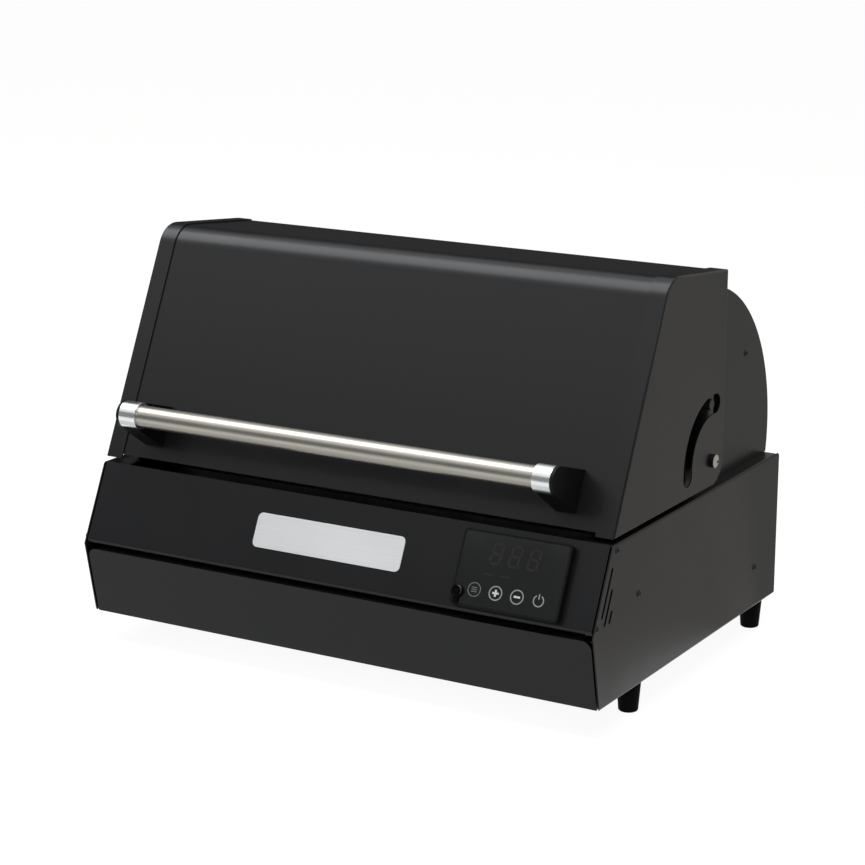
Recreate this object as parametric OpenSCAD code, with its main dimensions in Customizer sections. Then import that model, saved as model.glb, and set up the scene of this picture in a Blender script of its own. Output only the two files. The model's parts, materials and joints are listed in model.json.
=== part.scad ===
// Portable electric grill with a hinged lid, a fixed rear hood and a pull-out drip tray.
// Millimetres. X runs across the front, Y from front to rear, Z up from the worktop.

/* [Body] */
// Width across the two side panels of the base
body_w = 520; // [470:1:600]
// Depth from the front fold to the rear edge of the side panels
body_d = 382; // [366:1:440]
// Height of the side panels of the base
base_h = 138; // [130:1:160]
// Height of the front fold above the bottom edge of the base
fold_h = 68; // [64:1:74]
// Lean of the fascia and of the lid's front, in degrees from the vertical
rake = 25.5; // [20:0.5:28]
// How far the bottom of the tray front lies behind the fold
tray_undercut = 14.5; // [8:0.5:20]
// Thickness of the painted sheet steel
sheet_t = 1.2; // [1:0.1:1.6]
// Outer radius of the sheet's bends
bend_r = 2.4; // [2:0.1:4]
// Width of the ledges bent inwards along the top of the side panels
ledge_w = 28; // [24:1:34]
// Width of the flanges bent inwards along the bottom of the side panels
foot_flange_w = 28; // [25:1:40]
// Gap between the fascia's ends and the side panels
panel_gap = 1.5; // [0.8:0.1:2.5]
// How far the rear panel stands in from the rear edge of the side panels
rear_inset = 4; // [3.5:0.5:8]
// Width of the flange along the top of the rear panel
rear_flange_w = 36; // [32:1:44]

/* [Feet] */
// Height of the rubber feet
foot_h = 28; // [20:1:40]
// Radius of a foot where it meets the worktop
foot_bottom_r = 8.6; // [7:0.1:10]
// Radius of a foot where it meets the base
foot_top_r = 10.8; // [9:0.1:12]
// Distance of the foot centres from the outer face of the side panels
foot_inset = 14; // [13.5:0.5:18]
// Distance of the front foot centres behind the fold
foot_front = 98; // [80:1:130]
// Distance of the rear foot centres ahead of the rear edge
foot_rear = 23; // [20:1:60]

/* [Lid] */
// Gap between the lid's bottom edge and the base
lid_gap = 4.5; // [3:0.1:7]
// Height of the lid's rear top edge above its bottom edge
lid_rear_h = 190; // [182:1:220]
// Slope of the lid's top, in degrees, falling to the rear
lid_top_slope = 6; // [0:0.5:10]
// Outer radius of the bend between the lid's front and top
lid_bend_r = 26; // [12:1:40]
// How far the lid's cheeks stand in from the base side panels
lid_inset = 0.5; // [0:0.1:2]
// Width of the flange that each cheek turns over the front and top
cheek_flange_w = 17.5; // [12:0.5:24]
// Width of the stiffening return along the bottom of each cheek
cheek_return_w = 10.5; // [9:0.5:10.5]
// Distance of the lid panel's bottom edge above the cheeks' bottom edge
panel_lift = 3; // [0.5:0.5:6]
// Depth of the returns along the bottom and the rear of the lid panel
panel_return = 9; // [5:0.5:10]

/* [Hinge and hood] */
// Outer radius of the rear hood, round the lid's pivot
hood_r = 153; // [140:1:156]
// Height of the pivot above the top of the base
pivot_h = 27; // [22:0.5:34]
// How far the hood's walls stand in from the base side panels
hood_inset = 13; // [12.5:0.5:16]
// How far the hood's walls reach ahead of the pivot
hood_reach = 30; // [24:1:40]
// Width of the flange along the bottom of the hood's walls
hood_flange_w = 8; // [6:0.5:9]
// Opening angle of the lid, in degrees
lid_open = 90; // [60:1:90]
// Radius of the arc slot in each cheek, at the middle of the slot
slot_r = 51.5; // [44:0.5:60]
// Width of the arc slot
slot_w = 17.5; // [13:0.5:18]
// Angle of the slot's upper end, in degrees up from the rear
slot_start = 85; // [76:1:90]
// Angle of the stop pin, in degrees up from the rear
pin_angle = 93.6; // [93:0.1:110]
// Diameter of the stop pin
pin_d = 10; // [8:0.5:12.5]
// Diameter of the pivot bush where the cheek turns on it
bush_d = 12; // [11:0.5:16]
// How far the pivot bush stands out past the cheek
bush_out = 3.5; // [2:0.5:8]
// Radial play of the cheek on its bush
pivot_play = 0.05; // [0.02:0.01:0.1]
// Sideways play between the lid and the hinge spacers
side_play = 0.3; // [0.2:0.05:0.6]

/* [Handle] */
// Diameter of the handle tube
tube_d = 20; // [16:0.5:22]
// Wall of the handle tube
tube_wall = 1.2; // [0.8:0.1:2]
// Distance of the brackets' outer faces in from the base side panels
handle_in = 40; // [36:1:60]
// Height of the handle's axis up the lid's front
handle_up = 35; // [28:0.5:60]
// Distance of the handle's axis out from the lid's front
handle_out = 42.5; // [38:0.5:44]
// Outer diameter of the collars at the tube's ends
collar_d = 24.5; // [22.5:0.5:26]
// Length of a collar
collar_l = 17; // [12:0.5:24]
// Thickness of the plate at a bracket's outer end
bracket_end_t = 3; // [2:0.5:6]
// Height of a bracket where it meets the lid
bracket_h = 38; // [30:1:46]

/* [Controls] */
// Width of the control panel
control_w = 102; // [96:1:130]
// Height of the control panel along the fascia
control_h = 66; // [60:1:67]
// Distance of the panel's centre in from the right side panel
control_in = 83; // [72:1:96]
// Distance of the panel's lower edge above the fold
control_up = 6; // [5:0.5:8]
// How far the panel stands out from the fascia
control_out = 7; // [5:0.5:9]
// Depth of the control box behind the fascia
control_depth = 14; // [12:0.5:20]
// Thickness of the panel's front glass
glass_t = 1.6; // [1.2:0.1:2]
// Width of the bare plate on the fascia
badge_w = 151; // [120:1:160]
// Height of the bare plate
badge_h = 31; // [24:1:36]
// Distance of the plate's centre right of the middle
badge_x = -6.5; // [-20:0.5:10]
// Height of the plate's centre up the fascia
badge_up = 40; // [34:0.5:46]
// Thickness of the plate
badge_t = 1; // [0.6:0.1:1.6]
// Diameter of the probe socket's barrel
jack_d = 8; // [7:0.5:10]
// Diameter of the probe socket's hole
jack_bore = 3.6; // [2.6:0.1:4]

/* [Drip tray] */
// Distance of the drip pan's walls in from the base side panels
pan_in = 45; // [44:1:70]
// Depth of the drip pan, measured along its floor
pan_d = 318; // [260:1:326]
// Height of the drip pan's walls
pan_h = 38; // [25:1:39]
// Height of the drip pan's floor above the bottom edge of the base
pan_lift = 6; // [5:0.5:8]
// Width of the rims that hang on the rails
pan_rim = 15; // [12:0.5:18]
// Thickness of the pan's sheet
pan_t = 1; // [0.8:0.1:1.5]
// Gap between the tray front's top edge and the fold
tray_gap = 4.7; // [3:0.1:7]
// Radius of the tray front's top corners
tray_corner_r = 8; // [3:0.5:14]
// Running gap of the tray on its rails
tray_play = 0.3; // [0.3:0.05:0.6]

/* [Firebox] */
// Thickness of the stainless liner
liner_t = 1; // [0.8:0.1:1.4]
// Depth of the control bay behind the top of the fascia
bay_d = 43.5; // [40:0.5:50]
// Air gap between the heat shield and the firebox
shield_gap = 15; // [14.5:0.5:24]
// Clear depth behind the firebox
duct_d = 36; // [30:0.5:44]
// Width of the firebox's rim
rim_w = 7; // [6:0.5:8]
// Width of the deck round the open bottom of the firebox
funnel_w = 46; // [42:1:60]
// Height of the firebox's bottom above the bottom edge of the base
firebox_lift = 56; // [54:1:60]
// Diameter of the heater tubes
heater_d = 12; // [10:0.5:14]
// Distance of the heater tubes from the firebox's side walls
heater_in = 38; // [32:1:44]
// Height of the heater tubes above the bottom of the firebox
heater_up = 32; // [30:1:34]
// Radius of the reflectors behind the heater tubes
reflector_r = 25; // [20:0.5:28]

/* [Cooking grate] */
// Diameter of the grate's bars
bar_d = 6; // [4:0.5:6.5]
// Distance between neighbouring bars
bar_pitch = 16; // [12:0.5:24]
// Diameter of the two rods that carry the bars
carrier_d = 8; // [6:0.5:8]
// Depth of the carriers' axis below the top of the base
grate_drop = 16.5; // [15.5:0.5:18]
// Clear gap between the grate and the firebox walls
grate_gap = 9; // [6:0.5:14]

/* [Hidden] */
$fn = 64;

// Clearances: sheet round a screw, plate or foot round a screw, a box in its cut-out, pressed
// seats, glued plates, and neighbours that must not touch
hole_play = 0.15;
screw_play = 0.1;
box_play = 0.2;
skin_seat = 0.05;
glue_t = 0.1;
part_gap = 0.3;
// How far cuts run past the faces that they open, and how far merged solids reach into each other
over = 1;
merge = 0.1;

// Control panel, in the plane of the fascia
control_s = control_up + control_h / 2;
control_r = 4;
control_wall = 2;
control_lip = 8;
box_w = control_w - 2 * control_lip;
box_h = control_h - 2 * control_lip;
board_t = 1.6;
jack_from_side = 6;
jack_from_low = 12;
jack_x = jack_from_side - control_w / 2;
jack_s = jack_from_low - control_h / 2;
plug_seat = control_out + part_gap;
plug_out = 2.6;
plug_tab_w = 4.6;
plug_tab_l = 8.5;
plug_rise = 0.8;
plug_face = plug_seat + plug_out - plug_rise;
plug_low = control_s + jack_s - plug_tab_l - plug_tab_w / 2;

// Heights and depths of the base
half_w = body_w / 2;
control_x = half_w - control_in;
handle_span = body_w - 2 * handle_in;
pan_w = body_w - 2 * pan_in;
// The origin is the middle of the whole footprint: the probe plug's tab overhangs the fold
front_overhang = plug_face * cos(rake) - plug_low * sin(rake);
fold_y = (front_overhang - body_d) / 2;
rear_y = fold_y + body_d;
base_z0 = foot_h;
fold_z = base_z0 + fold_h;
base_z1 = base_z0 + base_h;
side_in = half_w - sheet_t;
tray_foot_y = fold_y + tray_undercut;
rear_out_y = rear_y - rear_inset;
rear_in_y = rear_out_y - sheet_t;
flange_end_y = rear_in_y - part_gap;
// How far the lower flanges, the floor and the rails start behind the foot of the tray front
flange_back = 26;
floor_back = 40;
rail_back = 44;

// Outward normal of the fascia and of the lid's front, and the way up along them, as (y, z)
front_n = [-cos(rake), sin(rake)];
front_u = [sin(rake), cos(rake)];
// Depth of the fascia's plane at a height
function front_y(z) = fold_y + (z - fold_z) * tan(rake);
// Depth of the tray front's outer plane at a height
function tray_y(z) = tray_foot_y - (z - base_z0) * tray_undercut / fold_h;

// Hinge axis, lid edges and the plane of the cheeks
pivot_y = rear_y - hood_r;
pivot_z = base_z1 + pivot_h;
lid_z0 = base_z1 + lid_gap;
cheek_r = pivot_h - lid_gap;
lid_rear_y = pivot_y + cheek_r;
lid_z1 = lid_z0 + lid_rear_h;
cheek_x = half_w - lid_inset;
cheek_in = cheek_x - sheet_t;
hood_x = half_w - hood_inset;
hood_in = hood_x - sheet_t;
slot_spare = 0.3;
slot_end = pin_angle + lid_open + slot_spare;

// The bend between the lid's front and top: the corner of the two planes, then the arc's centre
top_n = [sin(lid_top_slope), cos(lid_top_slope)];
top_u = [-cos(lid_top_slope), sin(lid_top_slope)];
function cross2(a, b) = a[0] * b[1] - a[1] * b[0];
fold_pt = [fold_y, fold_z];
lid_rear_pt = [lid_rear_y, lid_z1];
lid_corner = fold_pt + front_u * cross2(lid_rear_pt - fold_pt, top_u) / cross2(front_u, top_u);
lid_turn = 90 - rake + lid_top_slope;
lid_bend_c = lid_corner - front_u * lid_bend_r * tan(lid_turn / 2) - front_n * lid_bend_r;
lid_bottom_s = (lid_z0 - fold_z) / cos(rake);

// Drip tray and its rails
tray_lean = atan(tray_undercut / fold_h);
pan_z0 = base_z0 + pan_lift;
pan_z1 = pan_z0 + pan_h;
tray_top_z = fold_z - tray_gap;
floor_z = base_z0 + sheet_t;
floor_top = floor_z + sheet_t;
rail_side_gap = 4;
rail_web_x = pan_w / 2 + pan_rim + rail_side_gap;
pan_y0 = tray_y(pan_z0) + (sheet_t + skin_seat) / cos(tray_lean);
pan_y1 = tray_y(pan_z0) + pan_d;

// Firebox, heat shield and grate
fascia_top_y = front_y(base_z1);
shield_y = fascia_top_y + bay_d;
box_side_gap = 2.5;
box_half = half_w - ledge_w - box_side_gap;
box_y0 = shield_y + shield_gap;
box_y1 = rear_in_y - duct_d;
box_z0 = base_z0 + firebox_lift;
box_r = 12;
heater_x = box_half - heater_in;
heater_z = box_z0 + heater_up;
grate_z = base_z1 - grate_drop;
grate_half = box_half - liner_t - grate_gap;
grate_y0 = box_y0 + liner_t + grate_gap;
grate_y1 = box_y1 - liner_t - grate_gap;

// Handle, in the plane of the lid's front
tube_half = handle_span / 2 - bracket_end_t;
collar_r = collar_d / 2;
screw_r = 2;

// Colours
steel_black = [0.15, 0.15, 0.16];
black_plastic = [0.08, 0.08, 0.085];
rubber_black = [0.06, 0.06, 0.06];
stainless = [0.74, 0.73, 0.7];
chrome_silver = [0.86, 0.87, 0.89];
screw_black = [0.1, 0.1, 0.1];
board_green = [0.1, 0.28, 0.16];

// Extrudes a (y, z) outline across the body from x0 to x1
module along_x(x0, x1) {
    translate([x0, 0, 0])
        rotate([90, 0, 90])
            linear_extrude(height = x1 - x0)
                children();
}

// Extrudes an (x, z) outline along the depth from y0 to y1
module along_y(y0, y1) {
    translate([0, y1, 0])
        rotate([90, 0, 0])
            linear_extrude(height = y1 - y0)
                children();
}

// Frame of the fascia: x across, y up the slope from the fold, z out of the surface
module on_fascia() {
    translate([0, fold_y, fold_z])
        rotate([90 - rake, 0, 0])
            children();
}

// Frame of the lid's front, with y up from the cheeks' bottom edge
module on_lid_front() {
    on_fascia()
        translate([0, lid_bottom_s, 0])
            children();
}

// Frame of the control panel: its centre on the fascia
module on_control() {
    on_fascia()
        translate([control_x, control_s, 0])
            children();
}

// Turns a (radius, height) outline about an axis along X, with height 0 at x0
module turned_x(x0, y, z) {
    translate([x0, y, z])
        rotate([0, 90, 0])
            rotate_extrude()
                children();
}

module left_of() {
    mirror([1, 0, 0])
        children();
}

// Rectangle with round corners, centred
module round_rect(w, h, r) {
    square([w - 2 * r, h], center = true);
    square([w, h - 2 * r], center = true);
    for (sx = [-1, 1], sy = [-1, 1])
        translate([sx * (w / 2 - r), sy * (h / 2 - r)])
            circle(r);
}

// Straight slot with round ends between two points
module slot_between(p, q, w) {
    d = q - p;
    translate(p)
        rotate(atan2(d[1], d[0]))
            translate([0, -w / 2])
                square([norm(d), w]);
    translate(p)
        circle(w / 2);
    translate(q)
        circle(w / 2);
}

// Ring sector about the origin between two angles
module ring_sector(r0, r1, a0, a1) {
    reach = 2 * r1;
    steps = 8;
    angles = [for (i = [0:steps]) a0 + (a1 - a0) * i / steps];
    intersection() {
        difference() {
            circle(r1);
            circle(r0);
        }
        polygon(concat([[0, 0]], [for (a = angles) reach * [cos(a), sin(a)]]));
    }
}

// Screw with a domed head, along +Z: the head's seat is at 0 and the shank runs down
module dome_screw(shank_r, shank_l, head_r, head_h) {
    rotate_extrude() {
        translate([0, -shank_l])
            square([shank_r, shank_l + 0.01]);
        intersection() {
            translate([0, head_h - (head_r * head_r + head_h * head_h) / (2 * head_h)])
                circle((head_r * head_r + head_h * head_h) / (2 * head_h));
            square([head_r, head_h]);
        }
    }
}

// Screws in the side panels, as (y, z): two for the fascia, one for the shield, one for the rail
side_screw_r = 1.9;
small_screw_l = 6;
small_head_r = 3.2;
small_head_h = 1.5;
side_screw_at = [
    [fascia_top_y + 7.6, base_z1 - 6],
    [fold_y + 6, fold_z + 5.6],
    [shield_y + 7, base_z0 + 83],
    [rear_y - 50, base_z0 + 39.4]];

// Vent slots in the side panels: parallel to the fascia, cut off by a plumb line and by the fold
vent_w = 3.4;
vent_pitch = 8.75;
vent_first = 8.7;
vent_top_gap = 0.9;
vent_low_gap = 5.5;
vent_top_y = fascia_top_y - vent_top_gap;
vent_low_z = fold_z + vent_low_gap;
vent_first_lift = 8;
vent_count = 3;
function vent_end(i, z) = [front_y(z) + vent_first + i * vent_pitch, z];
function vent_low(i) = vent_low_z + (i == 0 ? vent_first_lift : 0);
function vent_high(i) = fold_z + (vent_top_y - fold_y - vent_first - i * vent_pitch) / tan(rake);

// Channel of a side panel: web outside, flanges turned inwards at top and bottom
side_reach = max(ledge_w, foot_flange_w) + bend_r;
module side_section() {
    h = base_h;
    reach = side_reach;
    difference() {
        translate([half_w - reach / 2, base_z0 + h / 2])
            round_rect(reach, h, bend_r);
        translate([half_w - sheet_t - reach / 2, base_z0 + h / 2])
            round_rect(reach, h - 2 * sheet_t, bend_r - sheet_t);
        translate([half_w - ledge_w - reach, base_z0 + h / 2])
            square([reach, h]);
        translate([half_w - foot_flange_w - reach, base_z0 - over])
            square([reach, h / 2 + over]);
    }
}

// Outline of a side panel in (y, z): undercut tray line, fold, fascia line, deck and rear
module side_outline() {
    r = 3;
    step = 15;
    polygon(concat([[tray_foot_y, base_z0], [fold_y, fold_z], [fascia_top_y, base_z1]],
        [for (a = [90:-step:0]) [rear_y - r + r * cos(a), base_z1 - r + r * sin(a)]],
        [for (a = [0:-step:-90]) [rear_y - r + r * cos(a), base_z0 + r + r * sin(a)]]));
}

module side_panel() {
    inner_x = half_w - side_reach - over;
    inner_w = side_in - inner_x;
    difference() {
        intersection() {
            along_y(fold_y - over, rear_y + over)
                side_section();
            along_x(inner_x, half_w + over)
                side_outline();
        }
        // The flanges stop short of the rear panel, and the lower one starts behind the tray front
        translate([inner_x, flange_end_y, base_z0 - over])
            cube([inner_w, rear_y - flange_end_y + over, base_h + 2 * over]);
        translate([inner_x, fold_y - over, base_z0 - over])
            cube([inner_w, tray_foot_y + flange_back - fold_y + over, base_h / 2]);
        // The ledge starts behind the fascia's sheet
        along_x(inner_x, side_in)
            polygon([for (q = [[-1, fold_z], [1, fold_z], [1, base_z1 + over], [-1, base_z1 + over]])
                [front_y(q[1]) + q[0] * (sheet_t + part_gap) / cos(rake), q[1]]]);
        along_x(side_in - over, half_w + over) {
            for (i = [0:vent_count - 1])
                slot_between(vent_end(i, vent_low(i)), vent_end(i, vent_high(i)), vent_w);
            for (p = side_screw_at)
                translate(p)
                    circle(side_screw_r + hole_play);
        }
        for (y = foot_ys)
            translate([half_w - foot_inset, y, base_z0 - over])
                cylinder(r = foot_screw_r + screw_play, h = sheet_t + 2 * over);
        for (y = hood_screw_ys)
            translate([hood_screw_x, y, base_z1 - sheet_t - over])
                cylinder(r = screw_r + screw_play, h = sheet_t + 2 * over);
        translate([bumper_x, bumper_y, base_z1 - sheet_t - over])
            cylinder(r = bumper_stem_r + skin_seat, h = sheet_t + 2 * over);
    }
}

module base_side_right() {
    color(steel_black)
        side_panel();
}

module base_side_left() {
    color(steel_black)
        left_of()
            side_panel();
}

// Inside of the fascia's outer faces, set in by o: leaning front and level underside with a round fold
fascia_fold_r = 3.5;
fascia_lip = 16;
fascia_half = side_in - panel_gap;
fascia_fold_c = [front_y(fold_z + fascia_fold_r) + fascia_fold_r / cos(rake), fold_z + fascia_fold_r];
module fascia_region(o, extra) {
    r = fascia_fold_r - o;
    top = base_z1 + extra;
    back = fascia_top_y + 2 * fascia_lip;
    polygon([fascia_fold_c + [0, -r], [back, fold_z + o], [back, top],
        [front_y(top) + o / cos(rake), top], fascia_fold_c + front_n * r]);
    translate(fascia_fold_c)
        circle(r);
}

module fascia_profile() {
    lip_y = fold_y + fascia_lip;
    intersection() {
        difference() {
            fascia_region(0, 0);
            fascia_region(sheet_t, 2 * sheet_t);
        }
        polygon([[fold_y - over, fold_z - over], [lip_y, fold_z - over], [lip_y, fold_z + fascia_lip],
            [fascia_top_y + fascia_lip, base_z1 + over], [fold_y - over, base_z1 + over]]);
    }
}

// Tabs at the fascia's ends that take the side panels' screws, as (y, z) boxes round each screw
fascia_tab = [19, 12.5];
fascia_tab_at = [12, 6.5];

module front_fascia() {
    color(steel_black)
        difference() {
            union() {
                along_x(-fascia_half, fascia_half)
                    fascia_profile();
                for (x0 = [-fascia_half, fascia_half - sheet_t], i = [0, 1])
                    along_x(x0, x0 + sheet_t)
                        intersection() {
                            fascia_region(sheet_t / 2, -sheet_t - part_gap);
                            translate(side_screw_at[i] - fascia_tab_at)
                                square(fascia_tab);
                        }
            }
            for (i = [0, 1])
                along_x(-half_w, half_w)
                    translate(side_screw_at[i])
                        circle(side_screw_r + hole_play);
            on_control()
                translate([0, 0, -sheet_t - over])
                    linear_extrude(height = sheet_t + 2 * over)
                        round_rect(box_w + 2 * box_play, box_h + 2 * box_play, control_r);
            on_control()
                translate([jack_x, jack_s, -sheet_t - over])
                    cylinder(r = jack_d / 2 + box_play, h = sheet_t + 2 * over);
        }
}

// Floor of the base, on the side panels' bottom flanges, with rows of air slots
floor_side_gap = 3;
floor_rear_gap = 2;
floor_y0 = tray_foot_y + floor_back;
floor_y1 = flange_end_y - floor_rear_gap;
air_slot_l = 60;
air_slot_w = 6;
air_slot_rows = 6;
air_slot_pitch = [120, 26];

module base_floor() {
    floor_half = side_in - floor_side_gap;
    first_y = (floor_y0 + floor_y1 - (air_slot_rows - 1) * air_slot_pitch[1]) / 2;
    color(steel_black)
        difference() {
            translate([-floor_half, floor_y0, floor_z])
                cube([2 * floor_half, floor_y1 - floor_y0, sheet_t]);
            for (column = [-1:1], row = [0:air_slot_rows - 1])
                translate([column * air_slot_pitch[0], first_y + row * air_slot_pitch[1], floor_z - over])
                    linear_extrude(height = sheet_t + 2 * over)
                        slot_between([-air_slot_l / 2, 0], [air_slot_l / 2, 0], air_slot_w);
            for (s = [-1, 1], y = foot_ys)
                translate([s * (half_w - foot_inset), y, floor_z - over])
                    cylinder(r = foot_screw_r + screw_play, h = sheet_t + 2 * over);
        }
}

// Rear panel between the side panels, with louvre slots and the opening of the mains inlet
inlet_in = 90;
inlet_up = 92;
inlet_x = inlet_in - half_w;
inlet_z = base_z0 + inlet_up;
inlet_w = 28;
inlet_h = 20.5;
inlet_r = 2;
inlet_flange_w = 50;
inlet_flange_h = 24;
inlet_flange_t = 2.6;
inlet_l = 24;
inlet_screw_pitch = 40;
block_from_inlet = 65;
block_x = inlet_x + block_from_inlet;
block_w = 48;

module rear_section() {
    reach = rear_flange_w;
    difference() {
        translate([rear_out_y - reach / 2, base_z0 + base_h / 2])
            round_rect(reach, base_h, bend_r);
        translate([rear_in_y - reach / 2, base_z0 + base_h / 2 - sheet_t])
            round_rect(reach, base_h, bend_r - sheet_t);
        translate([rear_out_y - reach - over, base_z0 - over])
            square([reach + over - sheet_t, base_h / 2]);
    }
}

louvre_l = 57;
louvre_w = 5;
louvre_rows = 6;
louvre_pitch = [80, 13];
louvre_x = 60;
louvre_up = 54;
louvre_z = base_z0 + louvre_up;
deck_gap = 0.5;

module rear_panel() {
    panel_half = side_in - part_gap;
    deck_half = half_w - ledge_w - deck_gap;
    flange_y = rear_in_y - rear_flange_w;
    half_l = (louvre_l - louvre_w) / 2;
    color(steel_black)
        difference() {
            along_x(-panel_half, panel_half)
                rear_section();
            // The top flange lies between the ledges of the side panels
            for (x0 = [-half_w, deck_half])
                translate([x0, flange_y, base_z1 - 2 * bend_r])
                    cube([half_w - deck_half, rear_flange_w, 2 * bend_r + over]);
            translate([inlet_x, 0, inlet_z])
                along_y(rear_in_y - over, rear_out_y + over)
                    round_rect(inlet_w + 2 * box_play, inlet_h + 2 * box_play, inlet_r);
            for (s = [-1, 1])
                translate([inlet_x + s * inlet_screw_pitch / 2, 0, inlet_z])
                    along_y(rear_in_y - over, rear_out_y + over)
                        circle(screw_r);
            for (column = [-1:1], row = [0:louvre_rows - 1])
                translate([louvre_x + column * louvre_pitch[0], 0, louvre_z + row * louvre_pitch[1]])
                    along_y(rear_in_y - over, rear_out_y + over)
                        slot_between([-half_l, 0], [half_l, 0], louvre_w);
            for (x = hood_rear_screw_xs)
                translate([x, hood_rear_screw_y, base_z1 - sheet_t - over])
                    cylinder(r = screw_r + screw_play, h = sheet_t + 2 * over);
        }
}

// Feet: tapered rubber with a sunk screw that runs up through the flange and the floor
foot_ys = [fold_y + foot_front, rear_y - foot_rear];
foot_screw_r = 2.5;
foot_web = 6;
foot_sink_r = 5.5;
foot_chamfer = 1;
foot_head_h = 3;
// M5 nuts and heads: the corner radius of a nut, its height, and how far a thread runs past it
nut_r = 4.6;
nut_h = 4;
thread_past = 1;

module foot(x, y) {
    color(rubber_black)
        translate([x, y, 0])
            rotate_extrude()
                difference() {
                    polygon([[0, 0], [foot_bottom_r - foot_chamfer, 0], [foot_bottom_r, foot_chamfer],
                        [foot_top_r, foot_h], [0, foot_h]]);
                    translate([-over, -over])
                        square([foot_sink_r + over, foot_h - foot_web + over]);
                    translate([-over, -over])
                        square([foot_screw_r + screw_play + over, foot_h + 2 * over]);
                }
}

module foot_front_left() {
    foot(foot_inset - half_w, foot_ys[0]);
}

module foot_front_right() {
    foot(half_w - foot_inset, foot_ys[0]);
}

module foot_rear_left() {
    foot(foot_inset - half_w, foot_ys[1]);
}

module foot_rear_right() {
    foot(half_w - foot_inset, foot_ys[1]);
}

// Hexagon nut along +Z on a screw of radius r
module nut(r) {
    difference() {
        cylinder(r = nut_r, h = nut_h, $fn = 6);
        translate([0, 0, -over])
            cylinder(r = r + skin_seat, h = nut_h + 2 * over);
    }
}

module foot_screws() {
    seat = foot_h - foot_web;
    color(stainless)
        for (s = [-1, 1], y = foot_ys)
            translate([s * (half_w - foot_inset), y, 0]) {
                translate([0, 0, seat])
                    rotate([180, 0, 0])
                        dome_screw(foot_screw_r, floor_top + nut_h + thread_past - seat, nut_r, foot_head_h);
                translate([0, 0, floor_top])
                    nut(foot_screw_r);
            }
}

module side_screws() {
    color(screw_black)
        for (s = [0, 1])
            mirror([s, 0, 0])
                for (p = side_screw_at)
                    translate([half_w, p[0], p[1]])
                        rotate([0, 90, 0])
                            dome_screw(side_screw_r, small_screw_l, small_head_r, small_head_h);
}

// Hood walls: the arc about the pivot, an upright front edge and a flange turned in on the ledge
hood_seat_y = pivot_y + sqrt(hood_r * hood_r - pivot_h * pivot_h);
hood_front_z = pivot_z + sqrt(hood_r * hood_r - hood_reach * hood_reach);
hood_screw_x = hood_in - hood_flange_w / 2;
hood_screw_behind = [20, 110];
hood_screw_ys = [for (b = hood_screw_behind) pivot_y + b];
hood_tab_r = 123.3;
hood_tab_a = 38.9;
hood_screw_r = 1.9;
hood_pt = [pivot_y, pivot_z];
pin_pt = hood_pt + slot_r * [cos(pin_angle), sin(pin_angle)];
tab_pt = hood_pt + hood_tab_r * [cos(hood_tab_a), sin(hood_tab_a)];

module hood_outline() {
    intersection() {
        translate(hood_pt)
            circle(hood_r);
        translate([pivot_y - hood_reach, base_z1])
            square([2 * hood_r, 2 * hood_r]);
    }
}

module hood_wall() {
    flange_l = hood_seat_y - hood_rear_foot - hood_flange_w - pivot_y;
    difference() {
        union() {
            along_x(hood_in, hood_x)
                hood_outline();
            translate([hood_in - hood_flange_w, pivot_y, base_z1])
                cube([hood_flange_w + sheet_t / 2, flange_l, sheet_t]);
        }
        along_x(hood_in - over, hood_x + over) {
            translate(hood_pt)
                circle(pivot_screw_r + screw_play);
            translate(pin_pt)
                circle(pin_stem_r + skin_seat);
            translate(tab_pt)
                circle(hood_screw_r + hole_play);
        }
        for (y = hood_screw_ys)
            translate([hood_screw_x, y, base_z1 - over])
                cylinder(r = screw_r + screw_play, h = sheet_t + 2 * over);
    }
}

module hood_side_right() {
    color(steel_black)
        hood_wall();
}

module hood_side_left() {
    color(steel_black)
        left_of()
            hood_wall();
}

// Curved rear sheet of the hood, between its walls, with a foot on the rear flange and an ear at each end
hood_rear_screw_in = 65;
hood_rear_screw_xs = [for (i = [-1:1]) i * (hood_in - hood_rear_screw_in)];
hood_rear_foot = 14;
hood_rear_screw_y = hood_seat_y - sheet_t - hood_rear_foot / 2;
hood_foot_gap = 3;
hood_lip = 9;
hood_ear_w = 30;
hood_ear_in = 12;

module rear_hood_shell() {
    foot_half = hood_in - hood_flange_w - hood_foot_gap;
    lip_top = hood_front_z - sheet_t / 2;
    color(steel_black)
        difference() {
            union() {
                along_x(-hood_in, hood_in)
                    difference() {
                        hood_outline();
                        translate(hood_pt)
                            circle(hood_r - sheet_t);
                    }
                along_x(-hood_in, hood_in)
                    translate([pivot_y - hood_reach, lip_top - hood_lip])
                        square([sheet_t, hood_lip]);
                along_x(-foot_half, foot_half)
                    translate([hood_seat_y - sheet_t / 2 - hood_rear_foot, base_z1])
                        square([hood_rear_foot, sheet_t]);
                for (x0 = [-hood_in, hood_in - sheet_t])
                    along_x(x0, x0 + sheet_t)
                        translate(hood_pt)
                            intersection() {
                                circle(hood_r - sheet_t / 2);
                                rotate(hood_tab_a)
                                    translate([hood_tab_r - hood_ear_in, -hood_ear_w / 2])
                                        square([hood_r, hood_ear_w]);
                            }
            }
            along_x(-half_w, half_w)
                translate(tab_pt)
                    circle(hood_screw_r + hole_play);
            for (x = hood_rear_screw_xs)
                translate([x, hood_rear_screw_y, base_z1 - over])
                    cylinder(r = screw_r + screw_play, h = sheet_t + 2 * over);
        }
}

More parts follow.
